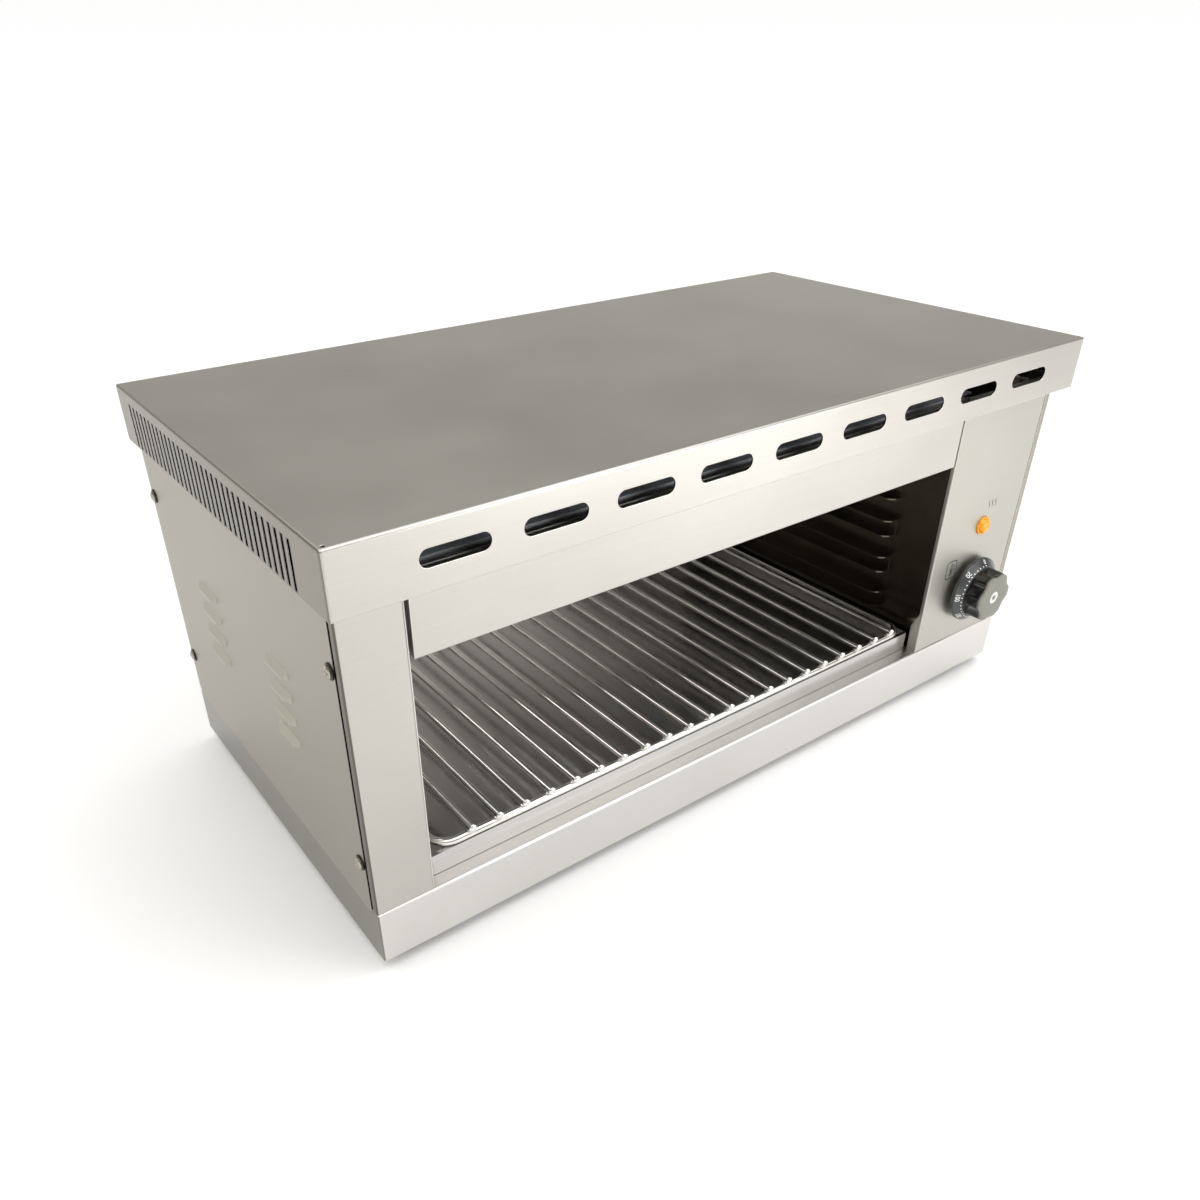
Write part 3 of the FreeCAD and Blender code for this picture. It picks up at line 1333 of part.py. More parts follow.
def make_inlet():
    """Cable gland with its nut, and the earth stud with its washer and nut, on the back panel."""
    z = deck + size("gland_rise")
    x = body_right - size("gland_inset")
    thread = size("gland_thread_radius")
    gland = fused("gland_form", [
        hexagon("gland_hex", (x, back_face, z), "y", size("gland_hex_radius"), size("gland_hex_height")),
        cone("gland_nose", (x, back_face + size("gland_hex_height"), z), "y", thread,
             size("gland_nose_radius"), size("gland_nose_height")),
        cylinder("gland_thread", (x, back_face, z), "-y", thread, size("gland_thread_length"))])
    bore = cylinder("gland_bore", (x, back_face - size("gland_thread_length") - past, z), "y",
                    size("gland_bore_radius"), size("gland_thread_length") + gland_out + past * 2)
    piece("cable_gland", cut("gland", gland, [bore]))
    nut = hexagon("gland_nut_hex", (x, back_face - wall, z), "-y",
                  size("gland_hex_radius") + size("washer_height"), size("gland_nut_height"))
    nut_bore = cylinder("gland_nut_bore", (x, back_face, z), "-y", thread + slack,
                        size("gland_nut_height") + past)
    piece("gland_nut", cut("gland_nut_form", nut, [nut_bore]))
    x = body_right - size("earth_inset")
    radius, hexagon_radius = size("earth_radius"), size("earth_hex_radius")
    washer_top = back_face + size("washer_height")
    nut_top = washer_top + size("earth_nut_height")
    neck = size("earth_neck_length")
    stud = fused("earth_form", [
        hexagon("earth_head", (x, back_face - wall, z), "-y", hexagon_radius, size("earth_head_height")),
        cylinder("earth_shank", (x, back_face - wall, z), "y", radius, nut_top - back_face + wall),
        cylinder("earth_neck", (x, nut_top, z), "y", size("earth_neck_radius"), neck),
        cylinder("earth_tip", (x, nut_top + neck, z), "y", radius, size("earth_tip_length"))])
    piece("earth_stud", stud)
    rings = []
    for name, base, outer, height in (
            ("washer", back_face, size("washer_radius"), size("washer_height")),
            ("nut", washer_top, hexagon_radius, size("earth_nut_height"))):
        make = cylinder if name == "washer" else hexagon
        ring = make("earth_%s_ring" % name, (x, base, z), "y", outer, height)
        hole = cylinder("earth_%s_bore" % name, (x, base - past, z), "y", radius + slack,
                        height + past * 2)
        rings.append(cut("earth_" + name, ring, [hole]))
    piece("earth_nut_and_washer", group("earth_ring_set", rings))


def screw(name, at, axis):
    """A pan-head screw with a cross recess; its head stands along the axis from its seat."""
    reverse = axis[1:] if axis.startswith("-") else "-" + axis
    sign = -1 if axis.startswith("-") else 1
    along = "xyz".index(axis[-1])

    def moved(distance):
        point = list(at)
        point[along] = point[along] + distance * sign
        return tuple(point)

    high = size("head_height")
    head = fused(name + "_form", [
        cylinder(name + "_head", at, axis, size("head_radius"), high / 2),
        cone(name + "_crown", moved(high / 2), axis, size("head_radius"), size("head_crown_radius"),
             high / 2),
        cylinder(name + "_shank", at, reverse, size("screw_radius"), size("screw_length"))])
    near_face, far_face = moved(high - size("cross_depth")), moved(high + past)
    low, top = (near_face, far_face) if sign > 0 else (far_face, near_face)
    bars = []
    others = [index for index in range(3) if index != along]
    for kind, reaches in (("a", (size("cross_length"), size("cross_width"))),
                          ("b", (size("cross_width"), size("cross_length")))):
        bottom, upper = list(low), list(top)
        for index, reach in zip(others, reaches):
            bottom[index] = bottom[index] - reach / 2
            upper[index] = upper[index] + reach / 2
        bars.append(block("%s_cross_%s" % (name, kind), tuple(bottom), tuple(upper)))
    return cut(name, head, bars)


def make_fasteners():
    """Cover screws with washers, canopy screws, and the feet with their screws."""
    screws, washers = [], []
    for side_name, face, axis in (("left", body_left, "-x"), ("right", body_right, "x")):
        sign = -1 if axis == "-x" else 1
        for number, (y, z) in enumerate(cover_screw_places(), start=1):
            name = "%s_%d" % (side_name, number)
            ring = cylinder("washer_ring_" + name, (face, y, z), axis, size("washer_radius"),
                            size("washer_height"))
            hole = cylinder("washer_hole_" + name, (face - past * sign, y, z), axis, hole_radius,
                            size("washer_height") + past * 2)
            washers.append(cut("washer_" + name, ring, [hole]))
            seat = face + size("washer_height") * sign
            screws.append(screw("cover_screw_" + name, (seat, y, z), axis))
    piece("cover_washers", group("cover_washer_set", washers))
    rear = canopy_front + size("canopy_depth")
    rise = skirt_bottom + size("canopy_screw_rise")
    for step in (-1, 0, 1):
        screws.append(screw("canopy_screw_%d" % (step + 2),
                            (canopy_screw_reach * step, rear, rise), "y"))
    high = size("foot_height")
    seat = size("foot_bore_depth")
    feet = zip(("front_left", "front_right", "rear_left", "rear_right"), foot_places())
    feet_forms = []
    for name, (x, y) in feet:
        form = cone("foot_form_" + name, (x, y, 0), "z", size("foot_base_radius"),
                    size("foot_top_radius"), high)
        well = cylinder("foot_well_" + name, (x, y, -past), "z", size("foot_bore_radius"),
                        seat + past)
        hole = cylinder("foot_hole_" + name, (x, y, 0), "z", thread_radius, high + past)
        feet_forms.append(cut("foot_" + name, form, [well, hole]))
        screws.append(screw("foot_screw_" + name, (x, y, seat), "-z"))
    piece("feet", group("foot_set", feet_forms))
    piece("case_screws", group("case_screw_set", screws))


make_canopy()
make_plinth()
make_post()
make_fascia()
make_control_panel()
make_side_cover("left_side_cover", body_left, -1)
make_side_cover("right_side_cover", body_right, 1)
make_back_panel()
make_chamber()
make_canopy_brackets()
make_runners()
make_elements()
make_tray()
make_grid()
make_knob()
make_thermostat()
make_lamp()
make_terminal_block()
make_wiring()
make_inlet()
make_fasteners()
doc.recompute()

# Checks before anything is written.
for item in doc.Objects:
    if "Invalid" in item.State or "Error" in item.State:
        raise RuntimeError("%s (%s) failed: %s" % (item.Name, item.Label, item.State))
for feature, base in CUTS:
    if not feature.Shape.Volume < base.Shape.Volume:
        raise RuntimeError("%s takes nothing away from %s" % (feature.Name, base.Name))
for item in PIECES:
    if item.Shape.isNull() or not item.Shape.isValid():
        raise RuntimeError("%s has no valid shape" % item.Label)

os.makedirs("parts", exist_ok=True)
for item in PIECES:
    item.Shape.exportStep(os.path.join("parts", item.Label + ".step"))
    print("%-24s %2d solid(s) %10.1f mm3" % (item.Label, len(item.Shape.Solids), item.Shape.Volume))
print("%d sub-parts" % len(PIECES))
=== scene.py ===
# %% [markdown]
# # A countertop cheese melter in brushed stainless steel
#
# The construction of this grill comes from an engineering model: every sheet, screw and
# wire is already in place, in metres, as a fixed frame. What is missing is how it looks.
# This lesson gives each sheet its brushed finish, remakes the pieces whose looks depend
# on round and glossy shapes (wire grid, dial, lamp, screws), prints the dial and lights it.

# %% Load the frame
import json
import math

import bmesh
import bpy
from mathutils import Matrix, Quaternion, Vector


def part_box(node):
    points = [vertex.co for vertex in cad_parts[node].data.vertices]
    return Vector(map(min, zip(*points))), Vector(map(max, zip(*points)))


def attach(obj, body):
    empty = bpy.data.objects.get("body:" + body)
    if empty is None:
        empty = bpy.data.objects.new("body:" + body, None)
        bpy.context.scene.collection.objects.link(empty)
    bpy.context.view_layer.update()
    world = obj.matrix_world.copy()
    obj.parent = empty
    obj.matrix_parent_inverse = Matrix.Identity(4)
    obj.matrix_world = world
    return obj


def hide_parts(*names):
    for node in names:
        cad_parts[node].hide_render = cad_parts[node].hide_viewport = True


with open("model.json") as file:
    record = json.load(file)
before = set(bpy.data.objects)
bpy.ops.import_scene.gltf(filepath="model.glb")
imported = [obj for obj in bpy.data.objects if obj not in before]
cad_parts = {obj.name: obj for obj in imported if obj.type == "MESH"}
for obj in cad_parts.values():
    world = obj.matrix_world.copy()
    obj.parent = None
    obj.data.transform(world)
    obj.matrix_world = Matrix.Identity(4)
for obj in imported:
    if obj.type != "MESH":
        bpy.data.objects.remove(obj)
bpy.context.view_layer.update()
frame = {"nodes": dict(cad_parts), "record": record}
scene = bpy.context.scene
MM = 0.001


def placed(name, data):
    """Puts new data into the scene as an object."""
    made = bpy.data.objects.new(name, data)
    scene.collection.objects.link(made)
    return made


print("nodes in the frame:", len(frame["nodes"]))

# %% [markdown]
# ## Camera
#
# The camera comes first, because everything later is judged through it. A lens of 29.5 mm
# on a 36 mm sensor stands close to the left front corner and looks down, which gives the
# strong perspective of a product snapshot. The picture was cropped off centre, and a small
# lens shift does the same here without turning the camera.

# %% Camera
CAMERA_PLACE = Vector((-0.4400, -0.5266, 0.4617))
CAMERA_AIM = Vector((-0.0563, 0.0, 0.0371))
CAMERA_ROLL = math.radians(-0.36)

camera_data = bpy.data.cameras.new("camera")
camera_data.lens = 29.514
camera_data.shift_x = 0.0273
camera_data.shift_y = 0.0695
camera = placed("camera", camera_data)
camera.location = CAMERA_PLACE
camera.rotation_mode = "QUATERNION"
look = (CAMERA_AIM - CAMERA_PLACE).to_track_quat("-Z", "Y")
camera.rotation_quaternion = look @ Quaternion((0, 0, 1), CAMERA_ROLL)
scene.camera = camera
print("camera stands", round((CAMERA_AIM - CAMERA_PLACE).length, 3), "m from its aim")

# %% [markdown]
# ## Helpers for every node tree
#
# Colours are written as the sRGB hex values that a picture editor shows, and Blender's
# sockets want linear light, so one function converts them. A second one adds a node to any
# tree, shader or geometry, sets its properties and fills or links its inputs in one call.
# The short ones after it stand for the few nodes that nearly every material here needs, and
# take their sizes in millimetres.

# %% Colour and node helpers
def linear(hex_colour):
    """The linear RGBA of an sRGB hex colour such as #8a8a86."""
    values = [int(hex_colour[i:i + 2], 16) / 255 for i in (1, 3, 5)]
    return [v / 12.92 if v <= 0.04045 else ((v + 0.055) / 1.055) ** 2.4 for v in values] + [1.0]


def add(tree, kind, inputs=(), **settings):
    """Adds a node, sets its properties, and fills its inputs with values or links."""
    made = tree.nodes.new(kind)
    for name, value in settings.items():
        setattr(made, name, value)
    for key, value in dict(inputs).items():
        several = value if isinstance(value, tuple) else (value,)
        if isinstance(several[0], bpy.types.NodeSocket):
            for socket in several:
                tree.links.new(socket, made.inputs[key])
        else:
            made.inputs[key].default_value = value
    return made


def maths(tree, operation, *values):
    """A Math node on sockets and numbers."""
    return add(tree, "ShaderNodeMath", dict(enumerate(values)), operation=operation).outputs[0]


def ranged(tree, value, *limits):
    """Maps a value from a first low and high to a second low and high, and clamps it."""
    return add(tree, "ShaderNodeMapRange", dict(enumerate((value, *limits)))).outputs[0]


def mixed(tree, share, first, second, blend="MIX"):
    """Mixes two colours, each a hex or a socket, by a share from 0 to 1."""
    ends = [linear(colour) if isinstance(colour, str) else colour for colour in (first, second)]
    return add(tree, "ShaderNodeMix", {0: share, 6: ends[0], 7: ends[1]},
               data_type="RGBA", blend_type=blend).outputs[2]


def noise(tree, place, size, detail=2.0, **more):
    """Noise whose clouds have this size in mm."""
    return add(tree, "ShaderNodeTexNoise", {"Vector": place, "Scale": 1 / (size * MM),
                                            "Detail": detail, **more}).outputs["Fac"]


def drawn_out(tree, place, *sizes):
    """The place counted in grains that have these sizes in mm along X, Y and Z."""
    scale = tuple(1 / (size * MM) for size in sizes)
    return add(tree, "ShaderNodeMapping", {"Vector": place, "Scale": scale}).outputs[0]


def new_material(name, roughness, metallic=0.0, **constants):
    """A material with a Principled shader whose plain sockets are set directly."""
    material = bpy.data.materials.new(name)
    material.use_nodes = True
    tree = material.node_tree
    shader = tree.nodes["Principled BSDF"]
    shader.inputs["Roughness"].default_value = roughness
    shader.inputs["Metallic"].default_value = metallic
    for key, value in constants.items():
        shader.inputs[key.replace("_", " ")].default_value = value
    return material, tree, shader, add(tree, "ShaderNodeTexCoord").outputs["Object"]


def feed(shader, **sources):
    """Links a socket to each of the named inputs of a shader."""
    for key, source in sources.items():
        shader.id_data.links.new(source, shader.inputs[key.replace("_", " ")])


def bumped(shader, height, depth, strength, **more):
    """Lets a pattern, depth mm deep, tilt the shader's normal."""
    bump = add(shader.id_data, "ShaderNodeBump", {"Height": height, "Distance": depth * MM,
                                                  "Strength": strength, **more})
    feed(shader, Normal=bump.outputs[0])


print("mid grey in linear light:", [round(v, 3) for v in linear("#808080")[:3]])

# %% [markdown]
# ## Brushed stainless sheet
#
# The shell is ferritic stainless steel, drawn under an abrasive belt in the mill. The belt
# leaves scratches a few tenths of a millimetre wide and some centimetres long, all one way.
# They blur reflections across the grain, so big faces look like soft satin with faint
# streaks. The grain is a noise drawn out along one axis. It follows the sheet round its
# folds: along X on faces that look forwards or up, along Z on a folded-down side, and along
# Y on the side covers. Real scratches are too fine to show at this distance, so the streaks
# are 0.8 mm wide.
#
# Where a sheet is folded or cut, the edge catches light as a thin bright line, and here that
# line is a painted highlight: the Bevel node finds those edges by comparing a rounded normal
# with the true one, and the tone is painted brighter there. Painted shade does the opposite.
# The canopy's inside is painted dark, so its slots look deep, the edges of its side vents get
# painted shade, and so do narrow strips beside open joints and the part of the covers that the
# canopy's skirt hides. Faces that look sideways are painted a shade darker, and on the covers
# the faces that lean a little from sideways take a lighter tone, a painted reflection.

# %% Brushed sheet finish
METRE = 1000.0  # one cloud for each unit of a place that is already counted in grains
STREAK_WIDE, STREAK_LONG, STREAK_DEPTH = 0.8, 70.0, 0.02
GRAIN_SHARE, CLOUD_SHARE, SPECK_SHARE = 0.35, 0.55, 0.12
PAINTED_EDGE_HIGHLIGHT, PAINTED_SHADE, PAINTED_VENT_SHADE = "#f4f1ea", "#0e0d0d", "#060606"
FOLD = 2.6  # mm left free of the painted shade at each fold


def within(tree, value, low, high, blur=0.2):
    """One where a coordinate in metres lies between two places in mm, and zero elsewhere."""
    half, middle = (high - low) / 2 * MM, (high + low) / 2 * MM
    away = maths(tree, "ABSOLUTE", maths(tree, "SUBTRACT", value, middle))
    return ranged(tree, away, half + blur * MM, half, 0.0, 1.0)


def brushed(name, dark, light, roughness, side_axis="Z", painted_side_shade="#ffffff", slope=None,
            strips=(), vents=None, shell=None):
    """Brushed sheet: streaks along X, or along side_axis on faces that look sideways.

    The side tone is painted shade that darkens those side faces, and slope is a painted
    reflection, the tone of faces that lean a little from sideways. strips are bands of painted
    shade: an axis, from and to in mm, and a tone. vents is a row of slots along Y whose edges
    get painted shade: first and last place, pitch, half a slot's width, lowest and highest
    place in mm. shell is a hollow box (half width, front, back and top) whose inside gets
    painted shade, clear of its folds."""
    material, tree, shader, place = new_material(name, roughness, metallic=1.0)
    axes = add(tree, "ShaderNodeSeparateXYZ", {0: place}).outputs
    normal = add(tree, "ShaderNodeNewGeometry").outputs["Normal"]
    across = add(tree, "ShaderNodeSeparateXYZ", {0: normal}).outputs["X"]
    sideways = maths(tree, "ABSOLUTE", across)
    on_side = maths(tree, "GREATER_THAN", sideways, 0.6)
    front_grain = drawn_out(tree, place, STREAK_LONG, STREAK_WIDE, STREAK_WIDE)
    side_grain = drawn_out(tree, place, STREAK_WIDE,
                           *((STREAK_LONG, STREAK_WIDE) if side_axis == "Y" else (STREAK_WIDE, STREAK_LONG)))
    grain_place = add(tree, "ShaderNodeMix", {0: on_side, 4: front_grain, 5: side_grain},
                      data_type="VECTOR").outputs[1]
    grain = noise(tree, grain_place, METRE, 3.0, Roughness=0.65)
    clouds = maths(tree, "MULTIPLY", noise(tree, place, 120.0), CLOUD_SHARE)
    streaks = maths(tree, "MULTIPLY_ADD", grain, GRAIN_SHARE, clouds)
    mottled = maths(tree, "MULTIPLY_ADD", noise(tree, place, 2.2), SPECK_SHARE, streaks)
    tone = mixed(tree, mottled, dark, light)
    # Painted highlight: the tone turns brighter along the folds and cut edges that the Bevel node finds.
    rounded = add(tree, "ShaderNodeBevel", {"Radius": 0.7 * MM}, samples=4).outputs[0]
    match = add(tree, "ShaderNodeVectorMath", {0: rounded, 1: normal},
                operation="DOT_PRODUCT").outputs["Value"]
    tone = mixed(tree, ranged(tree, match, 0.99, 0.9, 0.0, 1.0), tone, PAINTED_EDGE_HIGHLIGHT)
    # Painted shade: faces that look sideways are darkened by the side tone.
    tone = mixed(tree, on_side, tone, painted_side_shade, "MULTIPLY")
    # Painted reflection: faces that lean a little from sideways take the slope tone.
    if slope:
        level = ranged(tree, sideways, 0.995, 0.98, 0.0, 1.0)
        tone = mixed(tree, maths(tree, "MULTIPLY", level, on_side), tone, slope)
    # Painted shade in bands beside joints and under overlapping sheets.
    for axis, low, high, shade in strips:
        tone = mixed(tree, within(tree, axes[axis], low, high), tone, shade, "MULTIPLY")
    # Painted shade round each vent slot, a margin wider than the slot itself.
    if vents:
        first, last, pitch, half, low, high = vents
        beat = maths(tree, "WRAP", axes["Y"], (first + pitch / 2) * MM, (first - pitch / 2) * MM)
        slot = on_side
        for band in (within(tree, beat, first - half, first + half, 0.15),
                     within(tree, axes["Y"], first - pitch / 2, last + pitch / 2),
                     within(tree, axes["Z"], low, high)):
            slot = maths(tree, "MULTIPLY", slot, band)
        tone = mixed(tree, slot, tone, PAINTED_VENT_SHADE)
    # Painted shade on the inside of the hollow shell, away from its folds.
    if shell:
        side, front, back, top = shell
        under = within(tree, axes["Z"], 0.0, top - FOLD)
        skins = []
        for x_margin, y_margin in ((0.12, FOLD), (FOLD, 0.2)):
            wide = within(tree, axes["X"], x_margin - side, side - x_margin, 0.05)
            deep = within(tree, axes["Y"], front + y_margin, back - y_margin, 0.05)
            skins.append(maths(tree, "MINIMUM", maths(tree, "MINIMUM", wide, deep), under))
        tone = mixed(tree, maths(tree, "MAXIMUM", *skins), tone, PAINTED_SHADE)
    feed(shader, Base_Color=tone,
         Roughness=ranged(tree, mottled, 0.2, 0.8, roughness - 0.05, roughness + 0.06))
    bumped(shader, grain, STREAK_DEPTH, 0.6, Normal=rounded)
    return material


def box_mm(node):
    """The two corners of a node's box in mm."""
    return [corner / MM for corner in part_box(node)]


canopy_low, canopy_high = box_mm("canopy_cover")
cover_low, cover_high = box_mm("left_side_cover")
panel_edge, post_edge = box_mm("control_panel")[0].x, box_mm("left_front_post")[0].x
skirt = [point.co / MM for point in frame["nodes"]["canopy_cover"].data.vertices]
skirt = [point for point in skirt if abs(point.x - canopy_low.x) < 0.01
         and canopy_low.y + 20 < point.y < canopy_high.y - 15
         and canopy_low.z + 1 < point.z < canopy_high.z - 1]
vent_edges, vent_levels = (sorted({round(point[axis], 2) for point in skirt}) for axis in (1, 2))
print("vent edges:", vent_edges[:4], "to", vent_edges[-2:], "levels:", vent_levels)
# Painted shade reaches this many mm beyond each vent's edge.
PAINTED_VENT_MARGIN = 0.6
VENT_ROW = ((vent_edges[0] + vent_edges[1]) / 2, vent_edges[-1], vent_edges[2] - vent_edges[0],
            (vent_edges[1] - vent_edges[0]) / 2 + PAINTED_VENT_MARGIN, vent_levels[0] - 0.2, vent_levels[-1] + 0.2)

SATIN = ("#adaaa5", "#c8c5bf", 0.30)
# The sides of shell and canopy get painted shade, and the canopy also gets painted shade at its vents and
# inside.
shell_steel = brushed("brushed_ferritic_stainless", *SATIN, painted_side_shade="#b4b0a8")
canopy_steel = brushed("brushed_stainless_canopy", *SATIN, painted_side_shade="#b4b0a8", vents=VENT_ROW,
                       shell=(canopy_high.x, canopy_low.y, canopy_high.y, canopy_high.z))
# The fascia's end beside the control panel gets a painted shade from the panel.
fascia_steel = brushed("brushed_stainless_fascia", *SATIN,
                       strips=[("X", panel_edge - 2.0, panel_edge, "#7d776d")])
# The post's rounded left fold gets a painted shade.
post_steel = brushed("brushed_stainless_post", *SATIN,
                     strips=[("X", post_edge - 1.0, post_edge + 0.8, "#8f8b84")])
# On the covers, the front edge gets near-black painted shade for the joint to the post, the part under the
# canopy's skirt gets painted shade, and the leaning louvre faces get a painted reflection.
cover_steel = brushed("brushed_stainless_side_cover", "#928d83", "#a6a197", 0.36, side_axis="Y",
                      slope="#aaa69b", strips=[("Y", cover_low.y - 1.0, cover_low.y + 0.8, "#060505"),
                                               ("Z", canopy_low.z + 2.0, cover_high.z + 2.0, PAINTED_SHADE)])
panel_steel = brushed("brushed_stainless_panel", "#a5a39c", "#bcbab3", 0.44)
# The plinth's sides get painted shade.
plinth_steel = brushed("brushed_stainless_plinth", "#c4c2be", "#dddbd8", 0.30, painted_side_shade="#a4a19a")
print("shell finishes:", shell_steel.name, canopy_steel.name, cover_steel.name)

# %% [markdown]
# ## Steel inside the chamber
#
# The chamber's walls, runners and reflector are plain mill-finish sheet, colder and
# smoother than the shell, and the right wall and its right runners are drawn darker and
# browner. The drip tray is bright annealed sheet, almost a mirror, so it looks dark wherever
# it mirrors the dark chamber. Both use the same kind of pattern at other scales: soft clouds
# for heat tint, and fine scratches from cleaning.

# %% Chamber, tray and hidden sheets
def plain_sheet(name, dark, light, roughness, cloud_size=60.0, metallic=1.0):
    """Mill-finish sheet: cloudy heat tint and fine scratches from cleaning."""
    material, tree, shader, place = new_material(name, roughness, metallic=metallic)
    cloud = noise(tree, place, cloud_size, 4.0, Roughness=0.6)
    scratches = noise(tree, drawn_out(tree, place, 40.0, 1.2, 1.2), METRE)
    both = add(tree, "ShaderNodeMix", {0: 0.3, 2: cloud, 3: scratches}).outputs[0]
    feed(shader, Base_Color=mixed(tree, both, dark, light),
         Roughness=ranged(tree, both, 0.3, 0.7, roughness - 0.05, roughness + 0.05))
    bumped(shader, scratches, 0.01, 0.5)
    return material


chamber_steel = plain_sheet("mill_finish_stainless", "#c9c6c1", "#dedcd8", 0.42, metallic=0.5)
darker_right_steel = plain_sheet("darker_brown_stainless", "#4f493f", "#776f62", 0.20)
tray_steel = plain_sheet("bright_annealed_tray", "#bfbdbb", "#d6d4d2", 0.20, cloud_size=90)
shield_steel = plain_sheet("aluminised_sheet", "#c6d0dc", "#e0e6ee", 0.40, cloud_size=25, metallic=0.2)
print("sheets inside:", chamber_steel.name, darker_right_steel.name, tray_steel.name, shield_steel.name)

# %% [markdown]
# ## Plated, drawn and heated metal
#
# Screws and nuts are zinc-plated steel, bright with a slightly cloudy skin, and the covers'
# washers are drawn nearly black. The grid is chromed wire, the brightest metal here. The
# heating tubes were heated until their skin turned grey-brown and dull. The sensor is drawn
# copper, gone brown where it is hot.

# %% Small metal parts
def metal(name, dark, light, roughness, grain_size):
    """Bare or plated metal with a cloudy skin at the scale of its grain, in millimetres."""
    material, tree, shader, place = new_material(name, roughness, metallic=1.0)
    skin = noise(tree, place, grain_size, 3.0)
    feed(shader, Base_Color=mixed(tree, skin, dark, light),
         Roughness=ranged(tree, skin, 0.3, 0.7, roughness * 0.8, roughness * 1.2))
    return material


zinc_plate = metal("zinc_plated_steel", "#8d877b", "#c2bdb1", 0.16, 1.5)
dark_washer = metal("dark_washer_steel", "#2b2927", "#45423e", 0.34, 1.5)
chrome_wire = metal("chromed_wire", "#cfcdc8", "#ecebe7", 0.09, 6.0)
heater_skin = metal("oxidised_heating_tube", "#3d3935", "#5b544d", 0.48, 3.0)
copper_tube = metal("drawn_copper", "#8a5236", "#b87850", 0.32, 4.0)
print("metals:", zinc_plate.name, chrome_wire.name, heater_skin.name, copper_tube.name)

# %% [markdown]
# ## Plastic, ceramic and rubber
#
# Dial and grip are black phenolic. The dial has a soft sheen and a fine orange-peel skin,
# and the grip is polished by hands. The thermostat case, gland and lamp housing are duller
# black nylon, the terminal block white nylon. Insulators are unglazed ceramic, chalky and
# rough. All of them share one recipe, a moulded skin, with the size and depth of its
# texture in millimetres.

# %% Moulded and fired materials
def moulded(name, dark, light, roughness, skin_size, depth, **constants):
    """A moulded or fired material with a fine skin of the given size and depth."""
    material, tree, shader, place = new_material(name, roughness, **constants)
    feed(shader, Base_Color=mixed(tree, noise(tree, place, 14.0, 3.0), dark, light))
    bumped(shader, noise(tree, place, skin_size), depth, 0.5)
    return material


dial_black = moulded("phenolic_dial", "#454748", "#565859", 0.26, 0.6, 0.012, metallic=0.6)
knob_satin = moulded("satin_grey_face", "#66655b", "#77766b", 0.30, 0.3, 0.008)
insert_satin = moulded("pale_insert", "#c4c5c2", "#d9d9d6", 0.3, 0.4, 0.006)
thermostat_black = moulded("thermostat_phenolic", "#221f1d", "#332f2c", 0.45, 0.8, 0.03)
nylon_black = moulded("black_nylon", "#141414", "#202020", 0.42, 0.6, 0.02)
nylon_white = moulded("natural_nylon", "#d8d4c6", "#ece9de", 0.38, 0.8, 0.015)
steatite = moulded("steatite_ceramic", "#d6d0c2", "#ebe6da", 0.62, 0.4, 0.03)
rubber = moulded("foot_rubber", "#171717", "#262524", 0.68, 0.7, 0.04)
grip_black = moulded("glossy_phenolic_grip", "#060606", "#0c0c0c", 0.14, 0.9, 0.008)
print("moulded materials:", dial_black.name, nylon_white.name, steatite.name, rubber.name)

# %% [markdown]
# ## Braided and silicone leads
#
# Near a heating element ordinary insulation would melt. The mains leads therefore wear a
# varnished glass-fibre braid, and the others silicone. A braid is two crossed sets of
# strands: two wave textures that lean against each other, 1.2 mm apart.

# %% Lead materials
STRAND_PITCH = 1.2
WAVES_PER_UNIT = 0.31


def braided(name, dark, light):
    """Varnished braid: two crossed sets of strands."""
    material, tree, shader, place = new_material(name, 0.55)
    sets = []
    for lean in (0.8, -0.8):
        turned = add(tree, "ShaderNodeMapping", {"Vector": place, "Rotation": (lean, lean, 0)})
        sets.append(add(tree, "ShaderNodeTexWave", {
            "Vector": turned.outputs[0], "Scale": WAVES_PER_UNIT / (STRAND_PITCH * MM)}).outputs["Fac"])
    cross = maths(tree, "MAXIMUM", *sets)
    feed(shader, Base_Color=mixed(tree, cross, dark, light))
    bumped(shader, cross, 0.2, 0.8)
    return material


lead_red = braided("varnished_glass_braid_red", "#4d160f", "#8a3020")
lead_blue = moulded("silicone_blue", "#1f3a74", "#2c4d94", 0.4, 1.0, 0.02)
lead_green = moulded("silicone_green_yellow", "#4d7a22", "#a8b42e", 0.4, 1.0, 0.02)
print("leads:", lead_red.name, lead_blue.name, lead_green.name)

# %% [markdown]
# ## Amber lens and print
#
# The indicator's lens is amber acrylic, dyed so strongly that little light passes, and its
# lamp makes it glow faintly. The marks on the panel are screen-printed in a grey-brown ink,
# and those on the dial in white.

# %% Lens and ink
amber, amber_tree, amber_shader, amber_place = new_material(
    "amber_acrylic", 0.06, Transmission_Weight=0.1, IOR=1.49, Emission_Strength=0.1,
    Emission_Color=linear("#ffa81c"))
feed(amber_shader, Base_Color=mixed(amber_tree, noise(amber_tree, amber_place, 3.0), "#c67a00", "#ffb20a"))
panel_ink = moulded("panel_ink", "#23211e", "#2f2c28", 0.7, 0.5, 0.004)
dial_ink = moulded("dial_ink", "#dededb", "#f2f2ef", 0.5, 0.5, 0.004)
print("lens and inks:", amber.name, panel_ink.name, dial_ink.name)

# %% [markdown]
# ## Dress the frame
#
# The record names a material slot for every node. A table turns that name into one of the
# finishes above, with a few nodes picked out by name where a slot covers two finishes.

